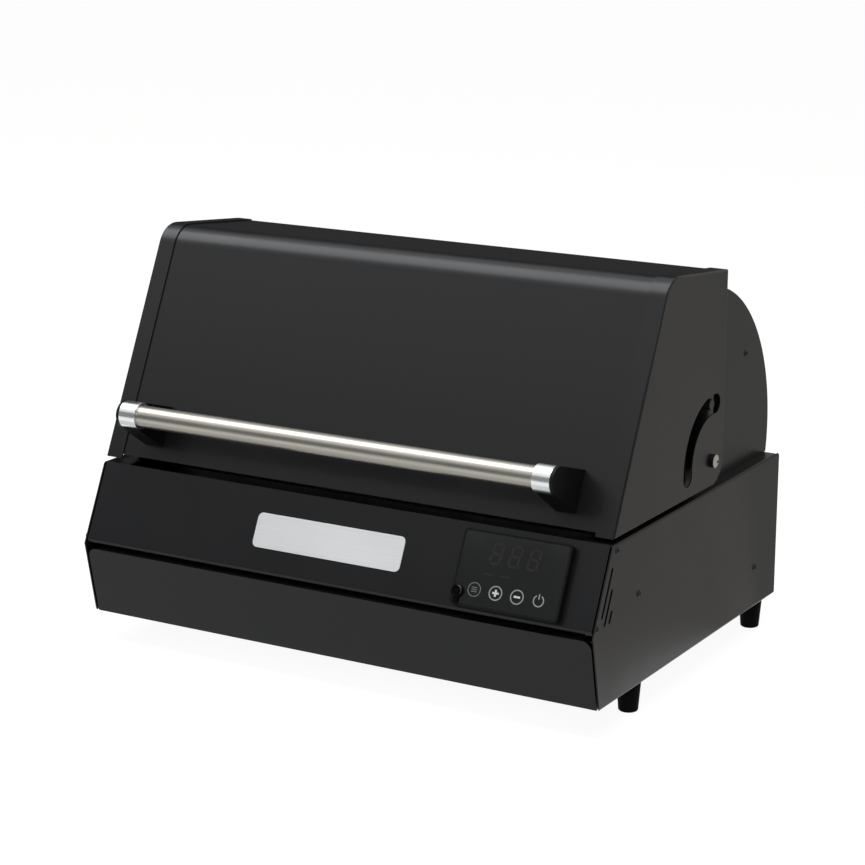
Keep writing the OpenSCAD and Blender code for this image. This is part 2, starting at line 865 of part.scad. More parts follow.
module hood_screws() {
    color(screw_black) {
        for (s = [0, 1])
            mirror([s, 0, 0]) {
                translate([hood_x, tab_pt[0], tab_pt[1]])
                    rotate([0, 90, 0])
                        dome_screw(hood_screw_r, small_screw_l, small_head_r, small_head_h);
                for (y = hood_screw_ys)
                    translate([hood_screw_x, y, base_z1 + sheet_t])
                        dome_screw(screw_r, small_screw_l, small_head_r, small_head_h);
            }
        for (x = hood_rear_screw_xs)
            translate([x, hood_rear_screw_y, base_z1 + sheet_t])
                dome_screw(screw_r, small_screw_l, small_head_r, small_head_h);
    }
}

// Hinge: a spacer bush that the cheek turns on, a through screw with its nut, and the stop pin
pivot_screw_r = 2.5;
pivot_head_r = 6;
pivot_head_h = 2;
pivot_key_r = 1.7;
pivot_key_floor = 1.2;
pin_stem_r = 3;
pin_tail = 3;
bush_spacer_r = 11;
bush_tip_x = cheek_x + bush_out;
turned_edge = 0.7;

// Half section of a turned post from height 0 to h, with a rounded outer edge at its end
module turned_post(r, h) {
    square([r, h - turned_edge]);
    square([r - turned_edge, h]);
    translate([r - turned_edge, h - turned_edge])
        intersection() {
            circle(turned_edge);
            square(turned_edge);
        }
}

module bush() {
    reach = bush_tip_x - hood_x;
    color(black_plastic)
        turned_x(hood_x, pivot_y, pivot_z)
            difference() {
                union() {
                    square([bush_spacer_r, cheek_in - side_play - hood_x]);
                    turned_post(bush_d / 2, reach);
                }
                translate([-over, -over])
                    square([pivot_screw_r + screw_play + over, reach + 2 * over]);
            }
}

module pivot_bush_right() {
    bush();
}

module pivot_bush_left() {
    left_of()
        bush();
}

module pivot_screw() {
    shank_l = bush_tip_x - hood_in + nut_h + thread_past;
    color(stainless) {
        translate([bush_tip_x, pivot_y, pivot_z])
            rotate([0, 90, 0])
                difference() {
                    dome_screw(pivot_screw_r, shank_l, pivot_head_r, pivot_head_h);
                    translate([0, 0, pivot_key_floor])
                        cylinder(r = pivot_key_r, h = pivot_head_h, $fn = 6);
                }
        translate([hood_in - nut_h, pivot_y, pivot_z])
            rotate([0, 90, 0])
                nut(pivot_screw_r);
    }
}

module pivot_screw_right() {
    pivot_screw();
}

module pivot_screw_left() {
    left_of()
        pivot_screw();
}

module stop_pin() {
    flush_gap = 0.5;
    color(screw_black)
        turned_x(hood_x, pin_pt[0], pin_pt[1]) {
            translate([0, -sheet_t - pin_tail])
                square([pin_stem_r, sheet_t + pin_tail + merge]);
            turned_post(pin_d / 2, cheek_x - flush_gap - hood_x);
        }
}

module stop_pin_right() {
    stop_pin();
}

module stop_pin_left() {
    left_of()
        stop_pin();
}

// Firebox: a stainless liner with a rim on the ledges, shelf tabs for the grate and an open bottom
box_mid_y = (box_y0 + box_y1) / 2;
box_d = box_y1 - box_y0;
carrier_in = 40;
carrier_ys = [grate_y0 + carrier_in, grate_y1 - carrier_in];
grate_end_gap = 2;
shelf_z = grate_z - carrier_d / 2 - part_gap;
sensor_x = 60;
sensor_z = heater_z + 6;
sensor_r = 2.5;
cap_stem_r = 5;

module firebox() {
    w = 2 * box_half;
    shelf_l = 26;
    shelf_w = 14;
    color(stainless)
        difference() {
            union() {
                translate([0, box_mid_y, 0]) {
                    translate([0, 0, box_z0])
                        linear_extrude(height = base_z1 - box_z0 + liner_t)
                            difference() {
                                round_rect(w, box_d, box_r);
                                round_rect(w - 2 * liner_t, box_d - 2 * liner_t, box_r - liner_t);
                            }
                    translate([0, 0, base_z1])
                        linear_extrude(height = liner_t)
                            difference() {
                                round_rect(w + 2 * rim_w, box_d + 2 * rim_w, box_r + rim_w);
                                round_rect(w - liner_t, box_d - liner_t, box_r - liner_t / 2);
                            }
                    translate([0, 0, box_z0])
                        linear_extrude(height = liner_t)
                            difference() {
                                round_rect(w - liner_t, box_d - liner_t, box_r - liner_t / 2);
                                round_rect(w - 2 * funnel_w, box_d - funnel_w, box_r);
                            }
                }
                for (s = [-1, 1], y = carrier_ys)
                    translate([s * (box_half - (liner_t + shelf_w) / 2), y, shelf_z - liner_t / 2])
                        cube([shelf_w, shelf_l, liner_t], center = true);
            }
            for (s = [-1, 1])
                translate([s * heater_x, 0, heater_z])
                    along_y(box_y0 - over, box_y1 + over)
                        circle(cap_stem_r + screw_play);
            translate([sensor_x, 0, sensor_z])
                along_y(box_y1 - liner_t - over, box_y1 + over)
                    circle(sensor_r + screw_play);
        }
}

// Heat shield between the control bay and the firebox, with a roof over the bay and side flanges
shield_lift = 50;
shield_z0 = base_z0 + shield_lift;
roof_gap = 3;
shield_z1 = fold_z + (control_s + box_h / 2) * cos(rake) + liner_t + roof_gap;
roof_front_gap = 1.5;
roof_side_gap = 4;

module heat_shield() {
    flange = 14;
    roof_y = front_y(shield_z1) + sheet_t / cos(rake) + roof_front_gap;
    web_half = fascia_half - roof_side_gap;
    color(stainless)
        difference() {
            union() {
                along_x(-side_in, side_in)
                    translate([shield_y, shield_z0])
                        square([liner_t, shield_z1 - shield_z0]);
                along_x(-web_half, web_half)
                    translate([roof_y, shield_z1 - liner_t])
                        square([shield_y - roof_y + liner_t / 2, liner_t]);
                for (x0 = [-side_in, side_in - liner_t])
                    along_x(x0, x0 + liner_t)
                        translate([shield_y, shield_z0])
                            square([flange, shield_z1 - shield_z0]);
            }
            along_x(-half_w, half_w)
                translate(side_screw_at[2])
                    circle(side_screw_r + hole_play);
        }
}

// Heaters: a quartz tube between ceramic end caps, over a half-round reflector
cap_l = 14;
cap_r = 11;
cap_chamfer = 1;
cap_stem_l = 5;
cap_floor = 2;
wire_hole_r = 1.2;
tube_glass = 1.2;
heater_cap_y0 = box_y0 + liner_t;
heater_cap_y1 = box_y1 - liner_t;

module heater_tube(s) {
    color([0.85, 0.8, 0.76])
        translate([s * heater_x, 0, heater_z])
            along_y(heater_cap_y0 + cap_floor, heater_cap_y1 - cap_floor)
                difference() {
                    circle(heater_d / 2);
                    circle(heater_d / 2 - tube_glass);
                }
}

module heater_tube_left() {
    heater_tube(-1);
}

module heater_tube_right() {
    heater_tube(1);
}

module heater_caps() {
    back = -liner_t - cap_stem_l;
    color([0.9, 0.88, 0.82])
        for (s = [-1, 1], e = [0, 1])
            translate([s * heater_x, e == 0 ? heater_cap_y0 : heater_cap_y1, heater_z])
                rotate([e == 0 ? -90 : 90, 0, 0])
                    rotate_extrude()
                        difference() {
                            union() {
                                translate([0, back])
                                    square([cap_stem_r, merge - back]);
                                square([cap_r - cap_chamfer, cap_l]);
                                square([cap_r, cap_l - cap_chamfer]);
                            }
                            translate([0, cap_floor - skin_seat])
                                square([heater_d / 2 + skin_seat, cap_l]);
                            translate([0, back - over])
                                square([wire_hole_r, cap_floor - back + over]);
                        }
}

reflector_t = 0.8;
reflector_tilt = 45;
reflector_end_gap = 2;

module reflector(s) {
    t = reflector_t;
    inset = cap_l + reflector_end_gap;
    rim_z = heater_z + (reflector_r - t) * sin(reflector_tilt);
    rim_x = heater_x + (reflector_r - t / 2) * cos(reflector_tilt);
    foot_z = box_z0 + liner_t;
    color(chrome_silver)
        mirror([s < 0 ? 1 : 0, 0, 0])
            along_y(heater_cap_y0 + inset, heater_cap_y1 - inset) {
                translate([heater_x, heater_z])
                    ring_sector(reflector_r - t, reflector_r, reflector_tilt - 180, reflector_tilt);
                translate([rim_x, rim_z])
                    square([box_half - liner_t - rim_x, t]);
                translate([heater_x - t / 2, foot_z])
                    square([t, heater_z - reflector_r + t / 2 - foot_z]);
            }
}

module reflector_left() {
    reflector(-1);
}

module reflector_right() {
    reflector(1);
}

// Control box: a raised frame on the fascia whose back passes through the fascia's opening
glass_w = control_w - 2 * control_wall;
glass_h = control_h - 2 * control_wall;
glass_r = control_r - control_wall / 2;
cavity_ledge = 2.5;
cavity_w = box_w - 2 * control_wall - cavity_ledge;
cavity_h = box_h - 2 * control_wall;
cavity_r = 2.5;

module control_housing() {
    color(black_plastic)
        on_control()
            difference() {
                union() {
                    linear_extrude(height = control_out)
                        round_rect(control_w, control_h, control_r);
                    translate([0, 0, -control_depth])
                        linear_extrude(height = control_depth + merge)
                            round_rect(box_w, box_h, control_r);
                }
                translate([0, 0, control_out - glass_t])
                    linear_extrude(height = glass_t + over)
                        round_rect(glass_w + box_play, glass_h + box_play, glass_r);
                translate([0, 0, control_wall - control_depth])
                    linear_extrude(height = control_depth + control_out)
                        round_rect(cavity_w, cavity_h, cavity_r);
                translate([jack_x, jack_s, -control_depth - over])
                    cylinder(r = jack_d / 2 + skin_seat, h = control_depth + control_out + 2 * over);
            }
}

module control_glass() {
    color([0.03, 0.03, 0.035])
        on_control()
            translate([0, 0, control_out - glass_t])
                linear_extrude(height = glass_t)
                    difference() {
                        round_rect(glass_w, glass_h, glass_r);
                        translate([jack_x, jack_s])
                            circle(jack_d / 2 + skin_seat);
                    }
}

// Control board on its four posts, and the three-digit display in front of it
board_post = 5;
board_post_r = 2;
board_post_in = 4;
board_gap = 4;
board_r = 2;
board_n = control_wall - control_depth + board_post;

module control_board() {
    w = cavity_w - board_gap / 2;
    h = cavity_h - board_gap;
    color(board_green)
        on_control() {
            translate([0, 0, board_n])
                linear_extrude(height = board_t)
                    round_rect(w, h, board_r);
            for (sx = [-1, 1], sy = [-1, 1])
                translate([sx * (w / 2 - board_post_in), sy * (h / 2 - board_post_in), board_n - board_post])
                    cylinder(r = board_post_r, h = board_post + merge);
        }
}

display_w = 56;
display_h = 24;
display_up = 10;
display_r = 1;

module display_module() {
    back = board_n + board_t;
    color([0.05, 0.05, 0.055])
        on_control()
            translate([0, display_up, back])
                linear_extrude(height = control_out - glass_t - part_gap - back)
                    round_rect(display_w, display_h, display_r);
}

// Power board on the front of the heat shield: relays and capacitors on a plate with posts
power_x = 30;
power_up = 32;
power_z = shield_z0 + power_up;
power_w = 110;
power_h = 46;
power_post = 6;
power_post_r = 2.5;
power_post_in = 5;
relay = [18, 15, 28];
relay_xs = [-36, -14];
capacitor_r = 8;
capacitor_l = 18;
capacitor_xs = [16, 36];

module power_board() {
    face = shield_y - power_post - board_t;
    post_x = power_w / 2 - power_post_in;
    post_z = power_h / 2 - power_post_in;
    color(board_green) {
        translate([power_x - power_w / 2, face, power_z - power_h / 2])
            cube([power_w, board_t, power_h]);
        for (sx = [-1, 1], sz = [-1, 1])
            translate([power_x + sx * post_x, 0, power_z + sz * post_z])
                along_y(shield_y - power_post - merge, shield_y)
                    circle(power_post_r);
    }
    color([0.2, 0.2, 0.22]) {
        for (x = relay_xs)
            translate([power_x + x - relay[0] / 2, face - relay[1], power_z - relay[2] / 2])
                cube([relay[0], relay[1] + merge, relay[2]]);
        for (x = capacitor_xs)
            translate([power_x + x, 0, power_z])
                along_y(face - capacitor_l, face + merge)
                    circle(capacitor_r);
    }
}

// Terminal block on the inside of the rear panel
block_h = 18;
block_d = 14;
block_poles = 4;
block_screw_r = 2.6;
block_screw_deep = 5;

module terminal_block() {
    pitch = block_w / block_poles;
    color([0.88, 0.86, 0.8])
        difference() {
            translate([block_x - block_w / 2, rear_in_y - block_d, inlet_z - block_h / 2])
                cube([block_w, block_d, block_h]);
            for (i = [0:block_poles - 1])
                translate([block_x - block_w / 2 + (i + 0.5) * pitch, 0, inlet_z])
                    along_y(rear_in_y - block_d - over, rear_in_y - block_d + block_screw_deep)
                        circle(block_screw_r);
        }
}

// Temperature sensor: a rod through the firebox's rear wall with a collar on the outside
sensor_rod = 60;
sensor_tail = 10;
sensor_collar_r = 6;
sensor_collar_l = 6;

module temperature_sensor() {
    color(stainless)
        translate([sensor_x, box_y1, sensor_z])
            rotate([90, 0, 0])
                rotate_extrude() {
                    translate([0, -sensor_tail])
                        square([sensor_r, sensor_rod + sensor_tail - sensor_r]);
                    translate([0, sensor_rod - sensor_r])
                        intersection() {
                            circle(sensor_r);
                            square(sensor_r);
                        }
                    translate([0, -sensor_collar_l])
                        square([sensor_collar_r, sensor_collar_l]);
                }
}

// Socket for a food probe, and the rubber plug that closes it
jack_tail = 4;
jack_floor = 2;
plug_cap_d = 10.5;
plug_stem_l = 9;
plug_ring = [1.7, 3.3];
plug_ring_deep = 1;

module probe_jack() {
    color(black_plastic)
        on_control()
            translate([jack_x, jack_s, -control_depth])
                difference() {
                    translate([0, 0, -jack_tail])
                        cylinder(r = jack_d / 2, h = jack_tail + control_depth + control_out);
                    translate([0, 0, jack_floor])
                        cylinder(r = jack_bore / 2, h = control_depth + control_out);
                }
}

module probe_plug() {
    color(rubber_black)
        on_control()
            translate([jack_x, jack_s, plug_seat]) {
                difference() {
                    union() {
                        cylinder(r = plug_cap_d / 2, h = plug_out);
                        linear_extrude(height = plug_face - plug_seat)
                            slot_between([0, 0], [0, -plug_tab_l], plug_tab_w);
                    }
                    translate([0, 0, plug_out - plug_ring_deep])
                        rotate_extrude()
                            translate([plug_ring[0], 0])
                                square([plug_ring[1] - plug_ring[0], plug_ring_deep + over]);
                }
                translate([0, 0, -plug_stem_l])
                    cylinder(r = jack_bore / 2 - hole_play, h = plug_stem_l + merge);
            }
}

badge_r = 5;
module badge_plate() {
    color(chrome_silver)
        on_fascia()
            translate([badge_x, badge_up, glue_t])
                linear_extrude(height = badge_t)
                    round_rect(badge_w, badge_h, badge_r);
}

// Mains inlet: a flange on the rear panel, a body behind it and a sunk socket with three pins
inlet_wall = 2;
inlet_deep = 17;
inlet_flange_r = 5;
inlet_hole_r = 1.7;
// Corners of the socket as shares of its half width and half height: the upper two are cut off
socket_corners = [[-1, -1], [1, -1], [1, 0.45], [0.6, 1], [-0.6, 1], [-1, 0.45]];
pin_w = 2;
pin_h = 4;
pin_at = [[-7, -2], [0, 3], [7, -2]];
pin_tail_l = 5;
pin_sunk = 5;

module mains_inlet() {
    face = rear_out_y + inlet_flange_t;
    back = rear_out_y - inlet_l;
    color(black_plastic)
        translate([inlet_x, 0, inlet_z])
            difference() {
                union() {
                    along_y(rear_out_y, face)
                        round_rect(inlet_flange_w, inlet_flange_h, inlet_flange_r);
                    along_y(back, rear_out_y + merge)
                        round_rect(inlet_w, inlet_h, inlet_r);
                }
                along_y(face - inlet_deep, face + over)
                    polygon([for (c = socket_corners)
                        [c[0] * (inlet_w / 2 - inlet_wall), c[1] * (inlet_h / 2 - inlet_wall)]]);
                for (s = [-1, 1])
                    translate([s * inlet_screw_pitch / 2, 0, 0])
                        along_y(rear_out_y - over, face + over)
                            circle(inlet_hole_r);
                for (c = pin_at)
                    translate([c[0], 0, c[1]])
                        along_y(back - over, rear_out_y)
                            square([pin_w, pin_h], center = true);
            }
}

module inlet_pins() {
    color(chrome_silver)
        for (c = pin_at)
            translate([inlet_x + c[0], 0, inlet_z + c[1]])
                along_y(rear_out_y - inlet_l - pin_tail_l, rear_out_y - pin_sunk)
                    square([pin_w, pin_h], center = true);
}

// Rails: a foot on the floor, a web and a top flange that carries the tray's rim
rail_top = pan_z1 - pan_t - tray_play;
rail_foot = 14;
rail_rear_gap = 6;
module rail() {
    shelf = pan_rim + rail_side_gap / 4;
    along_y(tray_foot_y + rail_back, flange_end_y - rail_rear_gap) {
        translate([rail_web_x, floor_top])
            square([sheet_t, rail_top - floor_top]);
        translate([rail_web_x + sheet_t - shelf, rail_top - sheet_t])
            square([shelf, sheet_t]);
        translate([rail_web_x + sheet_t - rail_foot, floor_top])
            square([rail_foot, sheet_t]);
    }
}

module tray_rail_right() {
    color(stainless)
        rail();
}

module tray_rail_left() {
    color(stainless)
        left_of()
            rail();
}

// Rubber bumpers on the ledges, under the returns of the lid's cheeks
bumper_x = cheek_in - cheek_return_w / 2;
bumper_back = 5;
bumper_y = shield_y + bumper_back;
bumper_r = 4.2;
bumper_stem_r = 2;
bumper_tail = 2;
module bumper() {
    color(rubber_black)
        translate([bumper_x, bumper_y, base_z1])
            rotate_extrude() {
                translate([0, -sheet_t - bumper_tail])
                    square([bumper_stem_r, sheet_t + bumper_tail + merge]);
                turned_post(bumper_r, lid_gap - part_gap);
            }
}

module lid_bumper_right() {
    bumper();
}

module lid_bumper_left() {
    left_of()
        bumper();
}

// Drip pan: sloping front wall against the tray front, rims that hang on the rails
rim_front_gap = 4;
rear_rim = 8;
module pan_outline(o) {
    top = pan_z1 + (o > 0 ? over : 0);
    polygon([[pan_y0 + o, pan_z0 + o], [pan_y1 - o, pan_z0 + o], [pan_y1 - o, top],
        [pan_y0 + o - (top - pan_z0) * tan(tray_lean), top]]);
}

module drip_tray_pan() {
    half = pan_w / 2;
    rim_y0 = pan_y0 + rim_front_gap;
    color(stainless) {
        difference() {
            along_x(-half, half)
                pan_outline(0);
            along_x(pan_t - half, half - pan_t)
                pan_outline(pan_t);
        }
        for (s = [-1, 1])
            translate([s > 0 ? half - pan_t / 2 : -half - pan_rim, rim_y0, pan_z1 - pan_t])
                cube([pan_rim + pan_t / 2, pan_y1 - rim_y0 + rear_rim, pan_t]);
        translate([-half, pan_y1 - pan_t / 2, pan_z1 - pan_t])
            cube([pan_w, rear_rim + pan_t / 2, pan_t]);
    }
}

// Tray front: a leaning panel with round top corners and returns on all four sides
module drip_tray_front() {
    half = fascia_half - part_gap;
    return_w = 10;
    corner_relief = 1;
    face_l = (tray_top_z - base_z0) / cos(tray_lean);
    top_half = half - tray_corner_r - corner_relief;
    color(steel_black)
        translate([0, tray_foot_y, base_z0])
            rotate([90 + tray_lean, 0, 0]) {
                translate([0, 0, -sheet_t])
                    linear_extrude(height = sheet_t) {
                        translate([0, (face_l - tray_corner_r) / 2])
                            square([2 * half, face_l - tray_corner_r], center = true);
                        translate([0, face_l - tray_corner_r / 2])
                            square([2 * (half - tray_corner_r), tray_corner_r], center = true);
                        for (s = [-1, 1])
                            translate([s * (half - tray_corner_r), face_l - tray_corner_r])
                                circle(tray_corner_r);
                    }
                translate([-top_half, face_l - sheet_t, -return_w])
                    cube([2 * top_half, sheet_t, return_w - sheet_t / 2]);
                translate([-half, 0, -return_w])
                    cube([2 * half, sheet_t, return_w - sheet_t / 2]);
                for (x = [-half, half - sheet_t])
                    translate([x, 0, -return_w])
                        cube([sheet_t, face_l - tray_corner_r - corner_relief, return_w - sheet_t / 2]);
            }
}

// Space under the lid's outer faces, set in by o, cut level at z0 and plumb at y1
module lid_region(o, z0, y1) {
    r = lid_bend_r - o;
    polygon([[front_y(z0) + o / cos(rake), z0], lid_bend_c + front_n * r, lid_bend_c + top_n * r,
        [y1, lid_z1 + (lid_rear_y - y1) * tan(lid_top_slope) - o / cos(lid_top_slope)], [y1, z0]]);
    translate(lid_bend_c)
        circle(r);
}

// Bent sheet that makes the lid's front and top
handle_screw_x = handle_span / 2 - bracket_end_t - collar_l / 2;
handle_screw_pitch = 20;
handle_screw_s = [for (s = [-1, 1]) handle_up + s * handle_screw_pitch / 2];
handle_screw_l = 16;
handle_head_r = 3.6;
handle_head_h = 2.2;

module lid_panel() {
    z0 = lid_z0 + panel_lift;
    rear_z = lid_z1 - sheet_t / cos(lid_top_slope);
    front = front_y(z0) + sheet_t / cos(rake);
    color(steel_black)
        difference() {
            union() {
                difference() {
                    along_x(-cheek_in, cheek_in)
                        lid_region(sheet_t, z0, lid_rear_y);
                    along_x(-half_w, half_w)
                        lid_region(2 * sheet_t, z0 - over, lid_rear_y + over);
                }
                along_x(-cheek_in, cheek_in)
                    translate([front + sheet_t / 2, z0])
                        square([panel_return, sheet_t]);
                along_x(-cheek_in, cheek_in)
                    translate([lid_rear_y - sheet_t, rear_z - panel_return])
                        square([sheet_t, panel_return - sheet_t / 2]);
            }
            on_lid_front()
                for (s = [-1, 1], up = handle_screw_s)
                    translate([s * handle_screw_x, up, -3 * sheet_t])
                        cylinder(r = screw_r + hole_play, h = 4 * sheet_t);
        }
}

// Cheek: side sheet with the arc slot, a flange over the front and top, and returns along its bottom and
// rear. The rear one passes the screw heads on the hood's walls as the lid opens
module cheek_outline() {
    r = lid_bend_r;
    polygon([[front_y(lid_z0), lid_z0], lid_bend_c + front_n * r, lid_bend_c + top_n * r, lid_rear_pt,
        [lid_rear_y, pivot_z], [pivot_y, lid_z0]]);
    translate(lid_bend_c)
        circle(r);
    translate(hood_pt)
        circle(cheek_r);
}

module arc_slot() {
    translate(hood_pt) {
        ring_sector(slot_r - slot_w / 2, slot_r + slot_w / 2, slot_start, slot_end);
        for (a = [slot_start, slot_end])
            translate(slot_r * [cos(a), sin(a)])
                circle(slot_w / 2);
    }
}

return_front_gap = 8;
return_rear_gap = 1;
return_rear_low = 4;
module cheek() {
    return_y0 = front_y(lid_z0) + panel_return + return_front_gap;
    return_y1 = pivot_y - slot_r - slot_w;
    rear_x0 = hood_x + small_head_h + return_rear_gap;
    rear_z0 = pivot_z + return_rear_low;
    rear_z1 = lid_z1 - sheet_t / cos(lid_top_slope) - panel_return - part_gap;
    along_x(cheek_in, cheek_x)
        difference() {
            cheek_outline();
            arc_slot();
            translate(hood_pt)
                circle(bush_d / 2 + pivot_play);
        }
    along_x(cheek_x - cheek_flange_w, cheek_x - sheet_t / 2)
        difference() {
            lid_region(0, lid_z0, lid_rear_y);
            lid_region(sheet_t, lid_z0 - over, lid_rear_y + over);
        }
    translate([cheek_in - cheek_return_w, return_y0, lid_z0])
        cube([cheek_return_w + sheet_t / 2, return_y1 - return_y0, sheet_t]);
    translate([rear_x0, lid_rear_y - sheet_t, rear_z0])
        cube([cheek_in + sheet_t / 2 - rear_x0, sheet_t, rear_z1 - rear_z0]);
}

module lid_cheek_right() {
    color(steel_black)
        cheek();
}

module lid_cheek_left() {
    color(steel_black)
        left_of()
            cheek();
}

// Handle: a tube between two brackets, with a bright collar over each end of the tube
module handle_tube() {
    color(stainless)
        on_lid_front()
            along_x(-tube_half, tube_half)
                translate([handle_up, handle_out])
                    difference() {
                        circle(tube_d / 2);
                        circle(tube_d / 2 - tube_wall);
                    }
}

module collar() {
    color(chrome_silver)
        on_lid_front()
            turned_x(tube_half - collar_l, handle_up, handle_out)
                difference() {
                    translate([0, collar_l])
                        mirror([0, 1])
                            turned_post(collar_r, collar_l);
                    translate([-over, -over])
                        square([tube_d / 2 + skin_seat + over, collar_l + 2 * over]);
                }
}

module handle_collar_right() {
    collar();
}

module handle_collar_left() {
    left_of()
        collar();
}

// Point where a line from p touches the circle of radius r about c, on its left (+1) or right (-1)
function touch(p, c, r, side) =
    let (d = norm(c - p), a = atan2(c[1] - p[1], c[0] - p[0]) + side * asin(r / d))
    p + sqrt(d * d - r * r) * [cos(a), sin(a)];

module bracket_profile() {
    c = [handle_up, handle_out];
    low = [handle_up - bracket_h / 2, -sheet_t];
    high = [handle_up + bracket_h / 2, -sheet_t];
    polygon([low, high, touch(high, c, collar_r, -1), touch(low, c, collar_r, 1)]);
    translate(c)
        circle(collar_r);
}

bracket_spigot = 12;
bracket_neck_gap = 1;
module bracket() {
    neck_x = tube_half - collar_l + bracket_neck_gap;
    axis = [handle_up, handle_out];
    color(black_plastic)
        on_lid_front()
            difference() {
                union() {
                    along_x(tube_half, handle_span / 2)
                        bracket_profile();
                    along_x(neck_x, tube_half + merge)
                        difference() {
                            bracket_profile();
                            translate(axis)
                                circle(collar_r + part_gap);
                            translate(axis - [bracket_h, 0])
                                square([2 * bracket_h, collar_d]);
                        }
                    along_x(tube_half - bracket_spigot, tube_half + merge)
                        translate(axis)
                            circle(tube_d / 2 - tube_wall - skin_seat);
                }
                for (up = handle_screw_s)
                    translate([handle_screw_x, up, -sheet_t - over])
                        cylinder(r = screw_r + skin_seat, h = handle_screw_l + 2 * over);
            }
}

module handle_bracket_right() {
    bracket();
}

module handle_bracket_left() {
    left_of()
        bracket();
}

module handle_screws() {
    color(stainless)
        on_lid_front()
            for (s = [-1, 1], up = handle_screw_s)
                translate([s * handle_screw_x, up, -2 * sheet_t])
                    rotate([180, 0, 0])
                        dome_screw(screw_r, handle_screw_l, handle_head_r, handle_head_h);
}

// Cooking grate: round bars across two carrier rods, closed by a rod along the front and the rear
grate_weld = 0.8;
grate_edge_d = 7;
grate_edge_past = 5;

module cooking_grate() {
    bars = floor((2 * grate_half - bar_d) / bar_pitch / 2);
    bar_z = grate_z + carrier_d / 2 + bar_d / 2 - grate_weld;
    carrier_half = box_half - liner_t - grate_end_gap;
    edge_half = bars * bar_pitch + grate_edge_past;
    color([0.55, 0.54, 0.52]) {
        for (i = [-bars:bars])
            translate([i * bar_pitch, 0, bar_z])
                along_y(grate_y0, grate_y1)
                    circle(bar_d / 2);
        for (y = carrier_ys)
            along_x(-carrier_half, carrier_half)
                translate([y, grate_z])
                    circle(carrier_d / 2);
        for (y = [grate_y0, grate_y1])
            along_x(-edge_half, edge_half)
                translate([y, bar_z])
                    circle(grate_edge_d / 2);
    }
}

base_side_left();
base_side_right();
front_fascia();
base_floor();
rear_panel();
foot_front_left();
foot_front_right();
foot_rear_left();
foot_rear_right();
foot_screws();
side_screws();
rear_hood_shell();
hood_side_left();
hood_side_right();
hood_screws();
pivot_bush_left();
pivot_bush_right();
pivot_screw_left();
pivot_screw_right();
stop_pin_left();
stop_pin_right();
firebox();
heat_shield();
heater_tube_left();
heater_tube_right();
heater_caps();
reflector_left();
reflector_right();
control_housing();
control_glass();
control_board();
display_module();
power_board();
terminal_block();
temperature_sensor();
probe_jack();
badge_plate();
mains_inlet();
inlet_pins();
tray_rail_left();
tray_rail_right();
lid_bumper_left();
lid_bumper_right();
drip_tray_pan();
drip_tray_front();
lid_panel();
lid_cheek_left();
lid_cheek_right();
handle_tube();
handle_collar_left();
handle_collar_right();
handle_bracket_left();
handle_bracket_right();
handle_screws();
cooking_grate();
probe_plug();
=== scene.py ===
# %% [markdown]
# # Dressing a portable electric grill
# The real object is a box of folded black sheet steel on four rubber feet, with a raked lid, a quarter-round
# hood behind it, a bright handle and a small touch panel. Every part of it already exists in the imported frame
# at its real size. This lesson adds what the frame lacks: soft edges, finishes, printed marks and screw
# heads. We never move a part of the frame, so everything below is placed by reading the frame back.

# %% Load the frame
import json
import math

import bmesh
import bpy
import numpy as np
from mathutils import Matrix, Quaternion, Vector


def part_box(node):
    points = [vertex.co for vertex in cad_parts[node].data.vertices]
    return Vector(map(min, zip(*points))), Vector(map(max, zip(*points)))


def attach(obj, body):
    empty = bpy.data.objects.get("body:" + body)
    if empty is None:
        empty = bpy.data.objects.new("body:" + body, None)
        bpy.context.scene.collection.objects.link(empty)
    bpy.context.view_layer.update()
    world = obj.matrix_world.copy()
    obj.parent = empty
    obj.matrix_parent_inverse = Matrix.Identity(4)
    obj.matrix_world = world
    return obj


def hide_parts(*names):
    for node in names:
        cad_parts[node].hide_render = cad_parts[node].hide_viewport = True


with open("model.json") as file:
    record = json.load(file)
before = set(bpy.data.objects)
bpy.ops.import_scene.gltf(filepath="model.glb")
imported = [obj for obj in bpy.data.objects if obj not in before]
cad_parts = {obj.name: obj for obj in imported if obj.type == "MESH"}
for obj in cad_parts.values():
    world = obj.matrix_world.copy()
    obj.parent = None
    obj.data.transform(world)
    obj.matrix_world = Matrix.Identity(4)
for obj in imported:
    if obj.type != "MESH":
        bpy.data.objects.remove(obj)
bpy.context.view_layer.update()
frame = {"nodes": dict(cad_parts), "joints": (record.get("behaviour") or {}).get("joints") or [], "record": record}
nodes = frame["nodes"]
MM = 0.001

# %% [markdown]
# ## Camera
# A product photographer stands back and uses a long lens, so that the lid's long edges stay almost parallel.
# The eye is placed by its azimuth, elevation and distance from a point in the middle of the grill. The lens
# follows from the size of the grill in the picture. A camera on a stand is never quite level, so this one has
# a small roll. Depth of field stays off: the whole grill is sharp.

# %% The photographer's camera
CAMERA_AIM = Vector((13.4, -26.4, 200.8)) * MM
CAMERA_AZIMUTH = math.radians(30.2)
CAMERA_ELEVATION = math.radians(14.42)
CAMERA_DISTANCE = 2.289
CAMERA_ROLL = math.radians(0.22)
LENS_MM = 105.3
SENSOR_MM = 36

